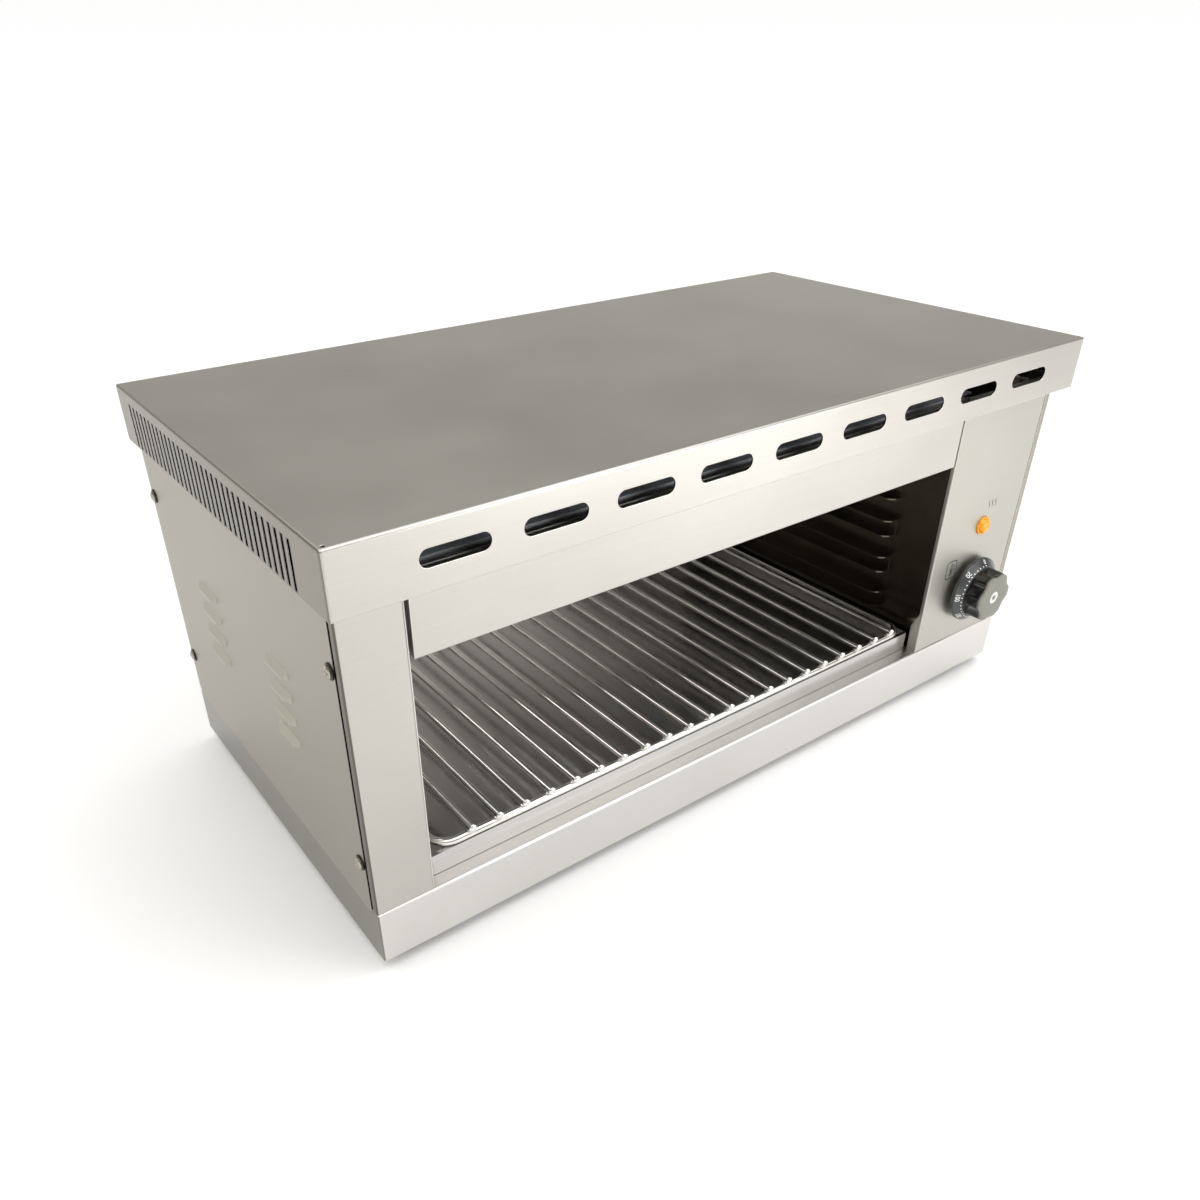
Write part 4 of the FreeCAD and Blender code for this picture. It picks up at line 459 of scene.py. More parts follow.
# %% Assign finishes to the frame's nodes
FINISHES = {
    "satin_steel": shell_steel, "chamber_steel": chamber_steel, "aluminised_steel": shield_steel,
    "element_tube": heater_skin, "ceramic": steatite, "plated_steel": zinc_plate,
    "tray_steel": tray_steel, "chrome_wire": chrome_wire, "dial_black": dial_black,
    "knob_satin": knob_satin, "thermostat_plastic": thermostat_black, "copper": copper_tube,
    "amber": amber, "black_plastic": nylon_black, "block_plastic": nylon_white,
    "lead_red": lead_red, "lead_blue": lead_blue, "lead_green": lead_green,
    "foot_rubber": rubber}
PICKED = {"left_side_cover": cover_steel, "right_side_cover": cover_steel,
          "back_panel": cover_steel, "canopy_cover": canopy_steel, "front_fascia": fascia_steel,
          "left_front_post": post_steel, "control_panel": panel_steel,
          "base_plinth": plinth_steel, "chamber_right_wall": darker_right_steel}
for subpart in frame["record"]["subparts"]:
    finish = PICKED.get(subpart["node"], FINISHES[subpart["material_slot"]])
    if subpart["node"].startswith("right_") and "runner" in subpart["node"]:
        finish = darker_right_steel
    for holder in frame["nodes"][subpart["node"]].material_slots:
        holder.material = finish

# %% [markdown]
# ## A way to grow pieces from rules
#
# Pieces that repeat, such as grid wires, dots and screws, are grown by Geometry Nodes. Each
# tree has named inputs for its sizes, so the rule and the numbers stay apart. The tree's
# end is always the same: real instances, smooth shading, a material. The grown shape is then
# kept as a plain mesh, because a finished piece carries no modifier.

# %% Geometry tree helpers
SOCKETS = {float: "NodeSocketFloat", int: "NodeSocketInt", tuple: "NodeSocketVector"}


def geometry_tree(name, sizes):
    """A tree with a named input for each size, a material input and a geometry input."""
    tree = bpy.data.node_groups.new(name, "GeometryNodeTree")
    tree.interface.new_socket("Geometry", in_out="INPUT", socket_type="NodeSocketGeometry")
    for label, value in sizes.items():
        tree.interface.new_socket(label, in_out="INPUT", socket_type=SOCKETS[type(value)])
    tree.interface.new_socket("Material", in_out="INPUT", socket_type="NodeSocketMaterial")
    tree.interface.new_socket("Geometry", in_out="OUTPUT", socket_type="NodeSocketGeometry")
    return tree, add(tree, "NodeGroupInput").outputs


def moved(tree, geometry, **changes):
    """Moves or scales a geometry by the named inputs of a Transform node."""
    return add(tree, "GeometryNodeTransform", {"Geometry": geometry, **changes}).outputs[0]


def end_tree(tree, given, geometry):
    """Ends a tree: real instances, smooth shading, material, output."""
    real = add(tree, "GeometryNodeRealizeInstances", {0: geometry}).outputs[0]
    smooth = add(tree, "GeometryNodeSetShadeSmooth", {0: real}).outputs[0]
    coated = add(tree, "GeometryNodeSetMaterial", {"Geometry": smooth,
                                                   "Material": given["Material"]})
    add(tree, "NodeGroupOutput", {0: coated.outputs[0]})


def grown(name, tree, sizes, material, start=None):
    """Runs a tree on a start mesh with its sizes and keeps the result as a plain mesh."""
    holder = placed(name, start or bpy.data.meshes.new(name))
    modifier = holder.modifiers.new(name, "NODES")
    modifier.node_group = tree
    for item in tree.interface.items_tree:
        if item.in_out == "INPUT" and item.name in sizes:
            modifier[item.identifier] = sizes[item.name]
        if item.in_out == "INPUT" and item.name == "Material":
            modifier[item.identifier] = material
    seen = holder.evaluated_get(bpy.context.evaluated_depsgraph_get())
    mesh = bpy.data.meshes.new_from_object(seen)
    holder.modifiers.remove(modifier)
    holder.data = mesh
    mesh.name = name
    return holder


def given_to(piece, body, slot, *nodes):
    """Lets a piece ride on a body and stand for nodes, which are hidden. slot is not used."""
    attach(piece, body)
    if nodes:
        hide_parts(*nodes)
    return piece


print("socket kinds:", len(SOCKETS))

# %% [markdown]
# ## The wire grid
#
# The real grid is a rod bent into a round-cornered frame, with 21 straight wires laid across
# it and spot-welded at both ends. The wires' ends are tumbled round, and each becomes a
# bright bead in the light. A bevelled curve could draw the rod, but the wires repeat at one
# pitch, so the whole grid is one tree: a filleted rectangle for the rod, one wire with its
# two domed ends placed along a line of points, and a flattened bead of weld at each crossing.

# %% Grow the wire grid
grid_low, grid_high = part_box("wire_grid")
WIRE_RADIUS = 2.5 * MM
WIRE_OVERHANG = 3.5 * MM
FIRST_WIRE = 25.7 * MM
WIRE_PITCH = 19.45 * MM
BALL_SWELL = 1.14
WELD_SCALE = (1.35, 1.0, 0.62)
grid_middle = (grid_low + grid_high) / 2
rod_height = grid_low.z + WIRE_RADIUS
grid_sizes = {
    "Rod Width": grid_high.x - grid_low.x - 2 * WIRE_RADIUS,
    "Rod Depth": grid_high.y - grid_low.y - 2 * WIRE_OVERHANG,
    "Corner": 13 * MM, "Radius": WIRE_RADIUS, "Dome": 0.62, "Wires": 21,
    "Wire Length": grid_high.y - grid_low.y,
    "First": (grid_low.x + FIRST_WIRE - grid_middle.x, 0.0, grid_high.z - WIRE_RADIUS - rod_height),
    "Step": (WIRE_PITCH, 0.0, 0.0),
    "Place": (grid_middle.x, grid_middle.y, rod_height)}

grid_tree, size_of = geometry_tree("wire_grid_rule", grid_sizes)
profile = add(grid_tree, "GeometryNodeCurvePrimitiveCircle",
              {"Resolution": 20, "Radius": size_of["Radius"]}).outputs[0]
rectangle = add(grid_tree, "GeometryNodeCurvePrimitiveQuadrilateral",
                {"Width": size_of["Rod Width"], "Height": size_of["Rod Depth"]}).outputs[0]
rounded = add(grid_tree, "GeometryNodeFilletCurve",
              {"Curve": rectangle, "Count": 10, "Radius": size_of["Corner"]}, mode="POLY").outputs[0]
rod = add(grid_tree, "GeometryNodeCurveToMesh",
          {"Curve": rounded, "Profile Curve": profile}).outputs[0]
dome_height = maths(grid_tree, "MULTIPLY", size_of["Radius"], size_of["Dome"])
half_wire = maths(grid_tree, "MULTIPLY", size_of["Wire Length"], 0.5)
reach = maths(grid_tree, "SUBTRACT", half_wire, dome_height)
back_reach = maths(grid_tree, "MULTIPLY", reach, -1.0)
ends = [add(grid_tree, "ShaderNodeCombineXYZ", {"Y": side}).outputs[0] for side in (reach, back_reach)]
straight = add(grid_tree, "GeometryNodeCurvePrimitiveLine", {"Start": ends[1], "End": ends[0]})
wire_body = add(grid_tree, "GeometryNodeCurveToMesh",
                {"Curve": straight.outputs[0], "Profile Curve": profile}).outputs[0]
ball = add(grid_tree, "GeometryNodeMeshUVSphere",
           {"Segments": 20, "Rings": 10, "Radius": size_of["Radius"]}).outputs[0]
flat_ball = add(grid_tree, "ShaderNodeCombineXYZ",
                {"X": BALL_SWELL, "Y": size_of["Dome"], "Z": BALL_SWELL}).outputs[0]
domes = [moved(grid_tree, ball, Translation=end, Scale=flat_ball) for end in ends]
one_wire = add(grid_tree, "GeometryNodeJoinGeometry", {0: (wire_body, *domes)}).outputs[0]
line = add(grid_tree, "GeometryNodeMeshLine", {"Count": size_of["Wires"],
                                               "Start Location": size_of["First"],
                                               "Offset": size_of["Step"]}).outputs[0]
wires = add(grid_tree, "GeometryNodeInstanceOnPoints", {"Points": line, "Instance": one_wire}).outputs[0]
weld = moved(grid_tree, ball, Scale=WELD_SCALE)
half_depth = maths(grid_tree, "MULTIPLY", size_of["Rod Depth"], 0.5)
down = maths(grid_tree, "MULTIPLY", size_of["Radius"], -1.0)
weld_rows = []
for side in (1.0, -1.0):
    away = maths(grid_tree, "MULTIPLY", half_depth, side)
    shift = add(grid_tree, "ShaderNodeCombineXYZ", {"Y": away, "Z": down}).outputs[0]
    weld_rows.append(add(grid_tree, "GeometryNodeInstanceOnPoints", {
        "Points": moved(grid_tree, line, Translation=shift), "Instance": weld}).outputs[0])
whole_grid = add(grid_tree, "GeometryNodeJoinGeometry", {0: (rod, wires, *weld_rows)}).outputs[0]
end_tree(grid_tree, size_of, moved(grid_tree, whole_grid, Translation=size_of["Place"]))
wire_grid = grown("welded_wire_grid", grid_tree, grid_sizes, chrome_wire)
given_to(wire_grid, "wire_grid", "chrome_wire", "wire_grid")
print("wire grid:", grid_sizes["Wires"], "wires,", len(wire_grid.data.polygons), "faces")

# %% [markdown]
# ## Turned pieces
#
# A dial, a lens or a screw head is a profile spun round an axis. Blender has a Spin tool,
# but a short function that lays rings of vertices gives clean, closed rings in any
# direction. A profile is a list of (radius, height) pairs in millimetres, from the back to
# the front, and a pair with radius zero closes the piece in a point.

# %% Ring-laying helpers
def mesh_from_rings(name, rings, material, sharp=40.0):
    """Skins closed rings of points from first to last and closes both ends.

    Edges that turn by more than sharp degrees stay sharp."""
    shape = bmesh.new()
    rows = [[shape.verts.new(point) for point in ring] for ring in rings]
    for lower, upper in zip(rows, rows[1:]):
        for i in range(len(lower)):
            j = (i + 1) % len(lower)
            shape.faces.new((lower[i], lower[j], upper[j], upper[i]))
    shape.faces.new(list(reversed(rows[0])))
    shape.faces.new(rows[-1])
    bmesh.ops.remove_doubles(shape, verts=shape.verts, dist=1e-6)
    bmesh.ops.recalc_face_normals(shape, faces=shape.faces)
    mesh = bpy.data.meshes.new(name)
    shape.to_mesh(mesh)
    shape.free()
    mesh.shade_smooth()
    mesh.set_sharp_from_angle(angle=math.radians(sharp))
    mesh.materials.append(material)
    return placed(name, mesh)


def spun(profile, centre, outline=None, steps=96):
    """Rings round an axis that points to the front, from (radius, height) pairs in mm.

    Where an outline is given, a radius is the distance outside it, so most are negative."""
    rings = []
    for radius, height in profile:
        ring = []
        for step in range(steps):
            turn = math.tau * step / steps
            reach = radius * MM + (outline(turn) if outline else 0.0)
            ring.append((centre.x + reach * math.sin(turn), centre.y - height * MM,
                         centre.z + reach * math.cos(turn)))
        rings.append(ring)
    return rings


print("rings are laid clockwise as seen from the front")

# %% [markdown]
# ## The dial
#
# The dial is a shallow cone moulded in black phenolic. Its rim is barely rounded, which
# draws a thin light line, and the slope carries the numbers. It is lathed from the frame's
# own sizes, so that it turns exactly where the model's dial turns.

# %% Turn the dial
dial_low, dial_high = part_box("knob_dial")
knob_axis = Vector(((dial_low.x + dial_high.x) / 2, dial_high.y, (dial_low.z + dial_high.z) / 2))
DIAL_RADIUS = (dial_high.x - dial_low.x) / 2 / MM
DIAL_HEIGHT = (dial_high.y - dial_low.y) / MM
RIM_HEIGHT = 3.0
TOP_RADIUS = 21.3
SOFT = 0.35
dial_profile = [
    (4.0, 0.0), (DIAL_RADIUS - SOFT, 0.0), (DIAL_RADIUS, SOFT), (DIAL_RADIUS, RIM_HEIGHT - SOFT),
    (DIAL_RADIUS - 0.12, RIM_HEIGHT), (DIAL_RADIUS - SOFT, RIM_HEIGHT + 0.28),
    (TOP_RADIUS + SOFT, DIAL_HEIGHT - 0.3), (TOP_RADIUS, DIAL_HEIGHT - 0.06),
    (TOP_RADIUS - SOFT, DIAL_HEIGHT), (4.0, DIAL_HEIGHT)]
dial = mesh_from_rings("numbered_dial", spun(dial_profile, knob_axis), dial_black, sharp=60)
given_to(dial, "knob", "dial_black", "knob_dial")
print("dial radius and height in mm:", round(DIAL_RADIUS, 2), round(DIAL_HEIGHT, 2))

# %% [markdown]
# ## Numbers and dots on the slope
#
# The dial is printed from 0 to 300 degrees, in steps of 50, with four dots between
# neighbouring numbers. The six steps share the knob's whole turn of 280 degrees, and 0 is at
# the top. Text in Blender is flat, so each number becomes a mesh and every vertex is laid on
# the cone: its x runs round the dial, and its y down the slope to the rim, because the
# numbers stand with their feet towards the axis. That keeps the print everywhere the same
# hair above the surface, which a flat number on a cone could not do.

# %% Print the numbers
SLOPE_RUN = DIAL_RADIUS - TOP_RADIUS
SLOPE_RISE = DIAL_HEIGHT - RIM_HEIGHT
SLOPE = math.hypot(SLOPE_RUN, SLOPE_RISE)
PRINT_LIFT = 0.05
ZERO_ANGLE = 5.0
LAST_NUMBER, NUMBER_STEP = 300, 50
STEP_ANGLE = 280.0 / (LAST_NUMBER / NUMBER_STEP)


def on_slope(angle, up, lift=PRINT_LIFT):
    """A place on the dial's slope: angle clockwise in degrees, mm up from the rim."""
    radius = DIAL_RADIUS - SLOPE_RUN * up / SLOPE + lift * SLOPE_RISE / SLOPE
    height = RIM_HEIGHT + SLOPE_RISE * up / SLOPE + lift * SLOPE_RUN / SLOPE
    turn = math.radians(angle)
    return Vector((knob_axis.x + radius * MM * math.sin(turn), knob_axis.y - height * MM,
                   knob_axis.z + radius * MM * math.cos(turn)))


NUMBER_HEIGHT = 3.9
NUMBER_FOOT = 2.7
DIGIT_SHARE = 0.72
NARROWER, LOWER = 0.82, 0.98


def text_mesh(words, tall):
    """Flat centred text as a mesh, tall millimetres high, in millimetres.

    A digit's height is DIGIT_SHARE of the font's size, and a small offset makes it bolder."""
    letters = bpy.data.curves.new(words, "FONT")
    letters.body = words
    letters.size = tall / DIGIT_SHARE
    letters.align_x = "CENTER"
    letters.offset = 0.012 * tall
    holder = placed(words, letters)
    bpy.context.view_layer.update()
    mesh = bpy.data.meshes.new_from_object(holder)
    bpy.data.objects.remove(holder)
    return mesh


middle_radius = DIAL_RADIUS - SLOPE_RUN / 2
printed = range(0, LAST_NUMBER + 1, NUMBER_STEP)
for step, degrees in enumerate(printed):
    number_angle = ZERO_ANGLE - STEP_ANGLE * step
    mesh = text_mesh(str(degrees), NUMBER_HEIGHT)
    for vertex in mesh.vertices:
        around = math.degrees(vertex.co.x * NARROWER / middle_radius)
        up = SLOPE - NUMBER_FOOT - vertex.co.y * LOWER
        vertex.co = on_slope(number_angle - around, up)
    mesh.materials.clear()
    mesh.materials.append(dial_ink)
    given_to(placed("dial_number_%d" % degrees, mesh), "knob", "dial_black")
print("numbers printed:", len(printed))

# %% Grow the dots
DOT_STEPS = 5
DOT_INSET, DOT_SUNK = 1.2, 0.35
dot_sizes = {"Dot": 0.68 * MM}
dot_tree, size_of = geometry_tree("dial_dot_rule", dot_sizes)
bead = add(dot_tree, "GeometryNodeMeshIcoSphere",
           {"Radius": size_of["Dot"], "Subdivisions": 2}).outputs[0]
dots = add(dot_tree, "GeometryNodeInstanceOnPoints", {"Points": size_of["Geometry"], "Instance": bead})
end_tree(dot_tree, size_of, dots.outputs[0])
dot_angles = [ZERO_ANGLE - STEP_ANGLE * n / DOT_STEPS
              for n in range((len(printed) - 1) * DOT_STEPS + 1)]
dot_seats = bpy.data.meshes.new("dot_seats")
dot_seats.from_pydata([on_slope(angle, SLOPE - DOT_INSET, -DOT_SUNK) for angle in dot_angles], [], [])
dial_dots = grown("dial_dots", dot_tree, dot_sizes, dial_ink, dot_seats)
given_to(dial_dots, "knob", "dial_black")
print("dots:", len(dot_angles))

# %% [markdown]
# ## Grip, face and insert
#
# The grip is a moulded cylinder with six round scallops for the fingers. Its outline is a
# formula: in each scallop the radius is where a ray from the axis meets the scallop's
# circle, elsewhere it is the full radius, and a little averaging rounds the ridges between.
# The top edge is rounded too, so that the ridges catch a long bright highlight.

# %% Scalloped outline
GRIP_RADIUS = 20.5
SCALLOPS = 6
SCALLOP_RADIUS = 16.0
SCALLOP_REACH = 34.2
OUTLINE_STEPS = 240


def scalloped(turn):
    """The grip's radius in mm at a turn from the top, clockwise."""
    share = math.tau / SCALLOPS
    off = (turn + share / 2) % share - share / 2
    across = SCALLOP_REACH * math.sin(off)
    if abs(across) >= SCALLOP_RADIUS:
        return GRIP_RADIUS
    inner = SCALLOP_REACH * math.cos(off) - math.sqrt(SCALLOP_RADIUS ** 2 - across ** 2)
    return min(GRIP_RADIUS, inner)


def grip_outline(turn):
    """The scalloped radius in metres with its ridges rounded by averaging over 7 degrees."""
    spread = [math.radians(step) for step in (-3.5, -2.3, -1.2, 0, 1.2, 2.3, 3.5)]
    return sum(scalloped(turn + step) for step in spread) / len(spread) * MM


GRIP_TOP = (knob_axis.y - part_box("knob_grip")[0].y) / MM
grip_profile = [(-8.0, 0.4), (-8.0, DIAL_HEIGHT), (0.0, DIAL_HEIGHT), (0.0, DIAL_HEIGHT + 0.4),
                (-0.35, GRIP_TOP - 1.0), (-0.5, GRIP_TOP - 0.45), (-0.85, GRIP_TOP - 0.12),
                (-1.3, GRIP_TOP), (-9.0, GRIP_TOP)]
grip = mesh_from_rings("scalloped_grip", spun(grip_profile, knob_axis, grip_outline, OUTLINE_STEPS),
                       grip_black, sharp=50)
given_to(grip, "knob", "dial_black", "knob_grip")
FACE_TOP = (knob_axis.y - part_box("knob_face")[0].y) / MM
face_profile = [(-4.0, GRIP_TOP - 0.3), (-0.75, GRIP_TOP - 0.3), (-0.75, FACE_TOP - 0.35),
                (-0.9, FACE_TOP - 0.12), (-1.2, FACE_TOP), (-6.0, FACE_TOP)]
face = mesh_from_rings("grip_face_plate", spun(face_profile, knob_axis, grip_outline, OUTLINE_STEPS),
                       knob_satin, sharp=50)
given_to(face, "knob", "knob_satin", "knob_face")
insert_low, insert_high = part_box("knob_insert")
INSERT_RADIUS = (insert_high.x - insert_low.x) / 2 / MM
INSERT_TOP = (knob_axis.y - insert_low.y) / MM
insert_profile = [(INSERT_RADIUS - 0.2, FACE_TOP - 0.9), (INSERT_RADIUS, FACE_TOP - 0.9),
                  (INSERT_RADIUS, INSERT_TOP - 0.15), (INSERT_RADIUS - 0.3, INSERT_TOP),
                  (INSERT_RADIUS - 1.1, INSERT_TOP), (INSERT_RADIUS - 1.4, INSERT_TOP - 0.2),
                  (1.0, INSERT_TOP - 0.2)]
insert = mesh_from_rings("grip_insert", spun(insert_profile, knob_axis, steps=64), insert_satin)
given_to(insert, "knob", "knob_satin", "knob_insert")
badge_profile = [(0.2, INSERT_TOP - 0.22), (2.0, INSERT_TOP - 0.22), (2.0, INSERT_TOP - 0.1),
                 (1.7, INSERT_TOP - 0.05), (0.2, INSERT_TOP - 0.05)]
badge = mesh_from_rings("insert_centre", spun(badge_profile, knob_axis, steps=48), knob_satin)
given_to(badge, "knob", "knob_satin")
print("grip reaches", round(FACE_TOP, 1), "mm before the dial's back")

# %% [markdown]
# ## The indicator lens
#
# The lens is moulded like a cut stone, so that the small lamp behind it sparkles at any
# angle. Four rings of nine points narrow to a small flat table, each ring turned by half a
# facet against the last, which makes triangles between them. Flat shading is wanted here. A
# turned flange of the same amber covers the hole in the panel.

# %% Cut the lens
lens_low, lens_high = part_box("lamp_lens")
lens_axis = Vector(((lens_low.x + lens_high.x) / 2, lens_high.y, (lens_low.z + lens_high.z) / 2))
LENS_RADIUS = (lens_high.x - lens_low.x) / 2 / MM
LENS_HEIGHT = (lens_high.y - lens_low.y) / MM
FACETS = 9
RADIUS_SHARES, HEIGHT_SHARES = (0.86, 0.84, 0.66, 0.34), (0.15, 0.32, 0.52, 0.64)
lens_shape = bmesh.new()
lens_rings = []
for level, (radius_share, height_share) in enumerate(zip(RADIUS_SHARES, HEIGHT_SHARES)):
    ring = []
    for facet in range(FACETS):
        turn = math.tau * (facet + 0.5 * (level % 2)) / FACETS
        radius = LENS_RADIUS * radius_share * MM
        ring.append(lens_shape.verts.new((lens_axis.x + radius * math.sin(turn),
                                          lens_axis.y - LENS_HEIGHT * height_share * MM,
                                          lens_axis.z + radius * math.cos(turn))))
    lens_rings.append(ring)
for level, (lower, upper) in enumerate(zip(lens_rings, lens_rings[1:])):
    shift = level % 2
    for i in range(FACETS):
        j = (i + 1) % FACETS
        lens_shape.faces.new((lower[i], lower[j], upper[j if shift else i]))
        lens_shape.faces.new((upper[i], upper[j], lower[i if shift else j]))
lens_shape.faces.new(list(reversed(lens_rings[0])))
lens_shape.faces.new(lens_rings[-1])
bmesh.ops.recalc_face_normals(lens_shape, faces=lens_shape.faces)
lens_mesh = bpy.data.meshes.new("faceted_lens")
lens_shape.to_mesh(lens_mesh)
lens_shape.free()
lens_mesh.materials.append(amber)
given_to(placed("faceted_lens", lens_mesh), "case", "amber", "lamp_lens")
flange_profile = [(3.0, 0.0), (LENS_RADIUS, 0.0), (LENS_RADIUS, 1.0), (LENS_RADIUS - 0.25, 1.4),
                  (LENS_RADIUS - 0.8, 1.55), (3.0, 1.55)]
flange = mesh_from_rings("lens_flange", spun(flange_profile, lens_axis, steps=64), amber)
given_to(flange, "case", "amber")
print("lens facets:", len(lens_mesh.polygons))

# %% [markdown]
# ## Case screws
#
# Fifteen pan-head screws hold covers, canopy and feet. A head is a low dome with a cross
# pressed into it. It is modelled once as a polar grid whose points sink where the cross is,
# and a tree then places it on fifteen points, each turned to face its own way out. The
# eight screws of the side covers stand on washers, which the same rule places. Heads and
# washers are a size smaller than the frame's, as the photograph shows them.

# %% Model one screw
HEAD_RADIUS = 3.6
HEAD_HEIGHT = 1.7
SHANK_RADIUS = 1.95
SHANK_LENGTH = 10.0
CROSS_HALF_WIDTH = 0.6
CROSS_HALF_LENGTH = 2.3
CROSS_DEPTH = 1.3


def head_height(x, y):
    """Height of the head's skin in mm over its seat at a place on it."""
    radius = math.hypot(x, y)
    share = min(1.0, radius / HEAD_RADIUS)
    dome = HEAD_HEIGHT * (1 - 0.62 * share ** 3.2)
    arm = max(abs(x), abs(y)), min(abs(x), abs(y))
    if arm[0] < CROSS_HALF_LENGTH and arm[1] < CROSS_HALF_WIDTH:
        return dome - CROSS_DEPTH * (1 - 0.55 * arm[0] / CROSS_HALF_LENGTH)
    return dome


ROUND_STEPS = 48


def flat_ring(radius, height, start=0.5):
    """Points in metres on a circle round Z, from a radius in mm and a height or a rule for it."""
    turns = [math.tau * (step + start) / ROUND_STEPS for step in range(ROUND_STEPS)]
    places = [(radius * math.cos(turn), radius * math.sin(turn)) for turn in turns]
    return [(x * MM, y * MM, (height(x, y) if callable(height) else height) * MM) for x, y in places]


HEAD_RADII = [0.3, 0.52, 0.6, 0.8, 1.1, 1.4, 1.8, 2.1, 2.28, 2.36, 2.7, 3.0, 3.3, 3.5, HEAD_RADIUS]
shank_profile = [(HEAD_RADIUS, 0.0), (SHANK_RADIUS, 0.0), (SHANK_RADIUS, 0.5 - SHANK_LENGTH),
                 (SHANK_RADIUS - 0.5, -SHANK_LENGTH)]
screw_rings = [flat_ring(radius, head_height) for radius in HEAD_RADII]
screw_rings += [flat_ring(radius, height) for radius, height in shank_profile]
screw_model = mesh_from_rings("pan_head_screw", screw_rings, zinc_plate)
print("faces in one screw:", len(screw_model.data.polygons))

# %% Place the screws
washer_low, washer_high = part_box("cover_washers")
screws_low, screws_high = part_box("case_screws")
foot_low, foot_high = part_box("feet")
FRAME_WASHER_RADIUS, FRAME_WASHER_THICK = 6.3 * MM, 1.0 * MM
FRAME_HEAD_RADIUS, FRAME_HEAD_HEIGHT = 4.5 * MM, 3.0 * MM
CANOPY_PITCH = 220 * MM
HALF_FOOT_PITCH = 264.3 * MM
WASHER_THICK = 0.8
seats = []
sunk = FRAME_WASHER_THICK - WASHER_THICK * MM
for side_x, facing in ((washer_low.x + sunk, -1.0), (washer_high.x - sunk, 1.0)):
    for seat_y in (washer_low.y + FRAME_WASHER_RADIUS, washer_high.y - FRAME_WASHER_RADIUS):
        for seat_z in (washer_low.z + FRAME_WASHER_RADIUS, washer_high.z - FRAME_WASHER_RADIUS):
            seats.append(((side_x, seat_y, seat_z), (facing, 0.0, 0.0)))
on_washers = len(seats)
canopy_back = screws_high.y - FRAME_HEAD_HEIGHT
canopy_screw_z = screws_high.z - FRAME_HEAD_RADIUS
for step in (-1, 0, 1):
    seats.append(((CANOPY_PITCH * step, canopy_back, canopy_screw_z), (0.0, 1.0, 0.0)))
foot_radius = (foot_high.x - foot_low.x) / 2 - HALF_FOOT_PITCH
print("foot radius in mm:", round(foot_radius / MM, 2))
for foot_x in (foot_low.x + foot_radius, foot_high.x - foot_radius):
    for foot_y in (foot_low.y + foot_radius, foot_high.y - foot_radius):
        seats.append(((foot_x, foot_y, screws_low.z + FRAME_HEAD_HEIGHT), (0.0, 0.0, -1.0)))


def seated(name, model, places, finish):
    """Grows one copy of a model on each place, turned to face its own way out."""
    tree, size_of = geometry_tree(name + "_rule", {})
    shape = add(tree, "GeometryNodeObjectInfo", {"Object": model}).outputs["Geometry"]
    facing = add(tree, "GeometryNodeInputNamedAttribute", {"Name": "facing"},
                 data_type="FLOAT_VECTOR").outputs[0]
    turned = add(tree, "FunctionNodeAlignRotationToVector", {"Vector": facing}, axis="Z").outputs[0]
    end_tree(tree, size_of, add(tree, "GeometryNodeInstanceOnPoints", {
        "Points": size_of["Geometry"], "Instance": shape, "Rotation": turned}).outputs[0])
    seat_mesh = bpy.data.meshes.new(name + "_seats")
    seat_mesh.from_pydata([place for place, _ in places], [], [])
    directions = seat_mesh.attributes.new("facing", "FLOAT_VECTOR", "POINT")
    for row, (_, out) in zip(directions.data, places):
        row.vector = out
    piece = grown(name, tree, {}, finish, seat_mesh)
    piece.data.set_sharp_from_angle(angle=math.radians(35))
    bpy.data.objects.remove(model)
    return piece


screws = seated("pan_head_screws", screw_model, seats, zinc_plate)
given_to(screws, "case", "plated_steel", "case_screws")
print("screws placed:", len(seats))

# %% Place the washers
WASHER_RADIUS = 4.8
washer_profile = [(0.5, -WASHER_THICK), (WASHER_RADIUS - 0.1, -WASHER_THICK),
                  (WASHER_RADIUS, 0.1 - WASHER_THICK), (WASHER_RADIUS, -0.2),
                  (WASHER_RADIUS - 0.3, 0.0), (0.5, 0.0)]
washer_rings = [flat_ring(radius, height, start=0.0) for radius, height in washer_profile]
washer_model = mesh_from_rings("washer", washer_rings, dark_washer)
washers = seated("side_washers", washer_model, seats[:on_washers], dark_washer)
given_to(washers, "case", "plated_steel", "cover_washers")
print("washers:", on_washers, "of", WASHER_THICK, "mm")

# %% [markdown]
# ## Marks on the control panel
#
# Beside the dial a thermometer in a round-cornered frame is printed, and over the lamp a
# small sign for heat. Both are plain pictograms in thin ink. Each stroke is a flat band of
# faces that follows a line of points, laid a few hundredths of a millimetre off the sheet.

# %% Print the pictograms
PRINT_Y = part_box("control_panel")[0].y - 0.04 * MM
ink_points, ink_faces = [], []


def stroke(line, width, closed=False):
    """A flat band of ink along a line of (x, z) points in mm."""
    first = len(ink_points)
    count = len(line)
    for index, (x, z) in enumerate(line):
        before = line[index - 1] if index or closed else line[index]
        after = line[(index + 1) % count] if index + 1 < count or closed else line[index]
        along = Vector((after[0] - before[0], after[1] - before[1])).normalized()
        for side in (-0.5, 0.5):
            ink_points.append(((x - along.y * width * side) * MM, PRINT_Y,
                               (z + along.x * width * side) * MM))
    for index in range(count if closed else count - 1):
        a, b = first + 2 * index, first + 2 * ((index + 1) % count)
        ink_faces.append((a, a + 1, b + 1, b))


def arc(x, z, radius, start, end, steps=10):
    """Points on an arc in mm and degrees, anticlockwise from the right."""
    angles = [math.radians(start + (end - start) * n / steps) for n in range(steps + 1)]
    return [(x + radius * math.cos(a), z + radius * math.sin(a)) for a in angles]


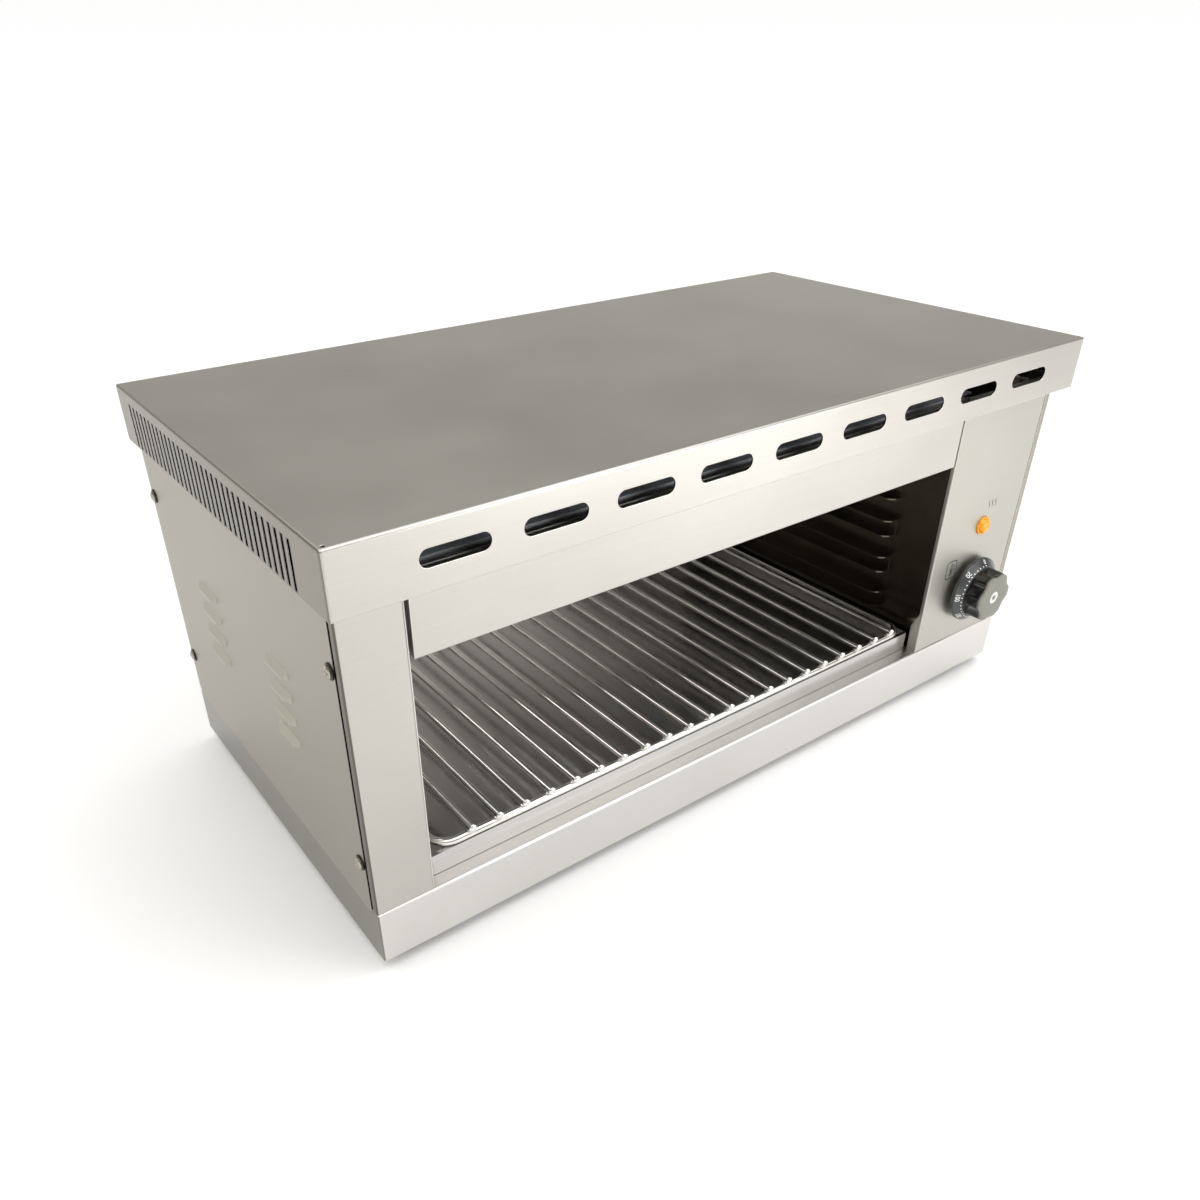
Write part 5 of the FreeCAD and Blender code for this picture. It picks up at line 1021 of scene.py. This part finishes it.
ICON_X, ICON_Z = 214.2, 112.4
ICON_WIDE, ICON_TALL, ICON_CORNER = 12.0, 14.8, 3.0
icon_frame = []
for quadrant, (side_x, side_z) in enumerate(((1, 1), (-1, 1), (-1, -1), (1, -1))):
    icon_frame += arc(ICON_X + side_x * (ICON_WIDE / 2 - ICON_CORNER),
                      ICON_Z + side_z * (ICON_TALL / 2 - ICON_CORNER), ICON_CORNER,
                      90 * quadrant, 90 * quadrant + 90, 6)
stroke(icon_frame, 0.8, closed=True)
STEM_HALF = 0.8
bulb_z = ICON_Z - 3.6
stem = arc(ICON_X, ICON_Z + 4.3, STEM_HALF, 0, 180, 8) + arc(ICON_X, bulb_z, 1.6, 120, 420, 20)
stroke(stem, 0.55, closed=True)
stroke([(ICON_X, bulb_z), (ICON_X, ICON_Z + 1.2)], 0.8)
stroke([(ICON_X - 0.45, bulb_z), (ICON_X + 0.45, bulb_z)], 1.6)
for tick in range(4):
    tick_z = ICON_Z - 0.6 + 1.4 * tick
    stroke([(ICON_X + 1.8, tick_z), (ICON_X + 3.6, tick_z)], 0.5)
HEAT_X, HEAT_Z = 251.0, 159.5
WAVE_PITCH, WAVE_SWING, WAVE_TALL, WAVE_STEPS = 4.2, 0.8, 6.0, 16
for wave in (-1, 0, 1):
    shares = [n / WAVE_STEPS for n in range(WAVE_STEPS + 1)]
    stroke([(HEAT_X + WAVE_PITCH * wave + WAVE_SWING * math.sin(math.tau * share),
             HEAT_Z + WAVE_TALL * (share - 0.5)) for share in shares], 0.6)
ink_mesh = bpy.data.meshes.new("panel_pictograms")
ink_mesh.from_pydata(ink_points, [], ink_faces)
ink_mesh.materials.append(panel_ink)
given_to(placed("panel_pictograms", ink_mesh), "case", "satin_steel")
print("ink faces:", len(ink_faces))

# %% [markdown]
# ## Floor, sky and lights
#
# Steel shows its surroundings, so the light is half of its finish. A product table is a
# pale floor that the front faces mirror, and a big room behind it that the top mirrors.
# The sky is white at the horizon, grey at half height, which is what the top shows, and
# bright overhead like a lit ceiling, which keeps the floor pale far into the distance.
#
# Three weak lights do the rest. A soft box over the front right brightens the floor that
# the front mirrors. A low one at the front right shines into the chamber. A thin strip at
# the chamber's left draws bright lines along the wires.

# %% Floor
floor_mesh = bpy.data.meshes.new("floor")
REACH = 40.0
floor_mesh.from_pydata([(-REACH, -REACH, 0), (REACH, -REACH, 0), (REACH, REACH, 0),
                        (-REACH, REACH, 0)], [], [(0, 1, 2, 3)])
floor = placed("floor", floor_mesh)
floor_paper, _, floor_shader, _ = new_material("pale_paper", 0.7)
floor_shader.inputs["Base Color"].default_value = linear("#f6f6f6")
floor_mesh.materials.append(floor_paper)
print("floor is", 2 * REACH, "m wide")

# %% Sky
world = bpy.data.worlds.new("studio_sky")
scene.world = world
world.use_nodes = True
sky = world.node_tree
background = sky.nodes["Background"]
direction = add(sky, "ShaderNodeTexCoord").outputs["Generated"]
height = add(sky, "ShaderNodeSeparateXYZ", {0: direction}).outputs["Z"]
ramp = add(sky, "ShaderNodeValToRGB", {0: height})
STOPS = [(0.0, "#ffffff"), (0.09, "#fbfaf8"), (0.22, "#a7a39c"), (0.40, "#8f8b84"),
         (0.47, "#96928b"), (0.58, "#f6f5f2"), (1.0, "#ffffff")]
while len(ramp.color_ramp.elements) < len(STOPS):
    ramp.color_ramp.elements.new(0.5)
for element, (position, colour) in zip(ramp.color_ramp.elements, STOPS):
    element.position = position
    element.color = linear(colour)
overhead = ranged(sky, height, 0.5, 0.7, 1.0, 1.75)
sky.links.new(ramp.outputs["Color"], background.inputs["Color"])
sky.links.new(overhead, background.inputs["Strength"])
scene.view_settings.view_transform = "Standard"
print("sky stops:", len(STOPS))

# %% Lights
# name, place, aim, width and height in metres, power in watts
LIGHTS = [("front_softbox", (0.2, -0.42, 0.9), (0.16, -0.3, 0.0), 0.5, 0.5, 1.7),
          ("chamber_fill", (0.56, -1.1, 0.32), (-0.15, 0.1, 0.1), 0.7, 0.7, 5.0),
          ("chamber_glint", (-0.25, 0.0, 0.16), (0.1, 0.0, 0.06), 0.22, 0.04, 0.12)]
for light_name, place, aim, wide, tall, power in LIGHTS:
    light_data = bpy.data.lights.new(light_name, "AREA")
    light_data.shape = "RECTANGLE"
    light_data.size = wide
    light_data.size_y = tall
    light_data.energy = power
    light = placed(light_name, light_data)
    light.location = place
    light.rotation_mode = "QUATERNION"
    light.rotation_quaternion = (Vector(aim) - Vector(place)).to_track_quat("-Z", "Y")
    print(light_name, power, "W")
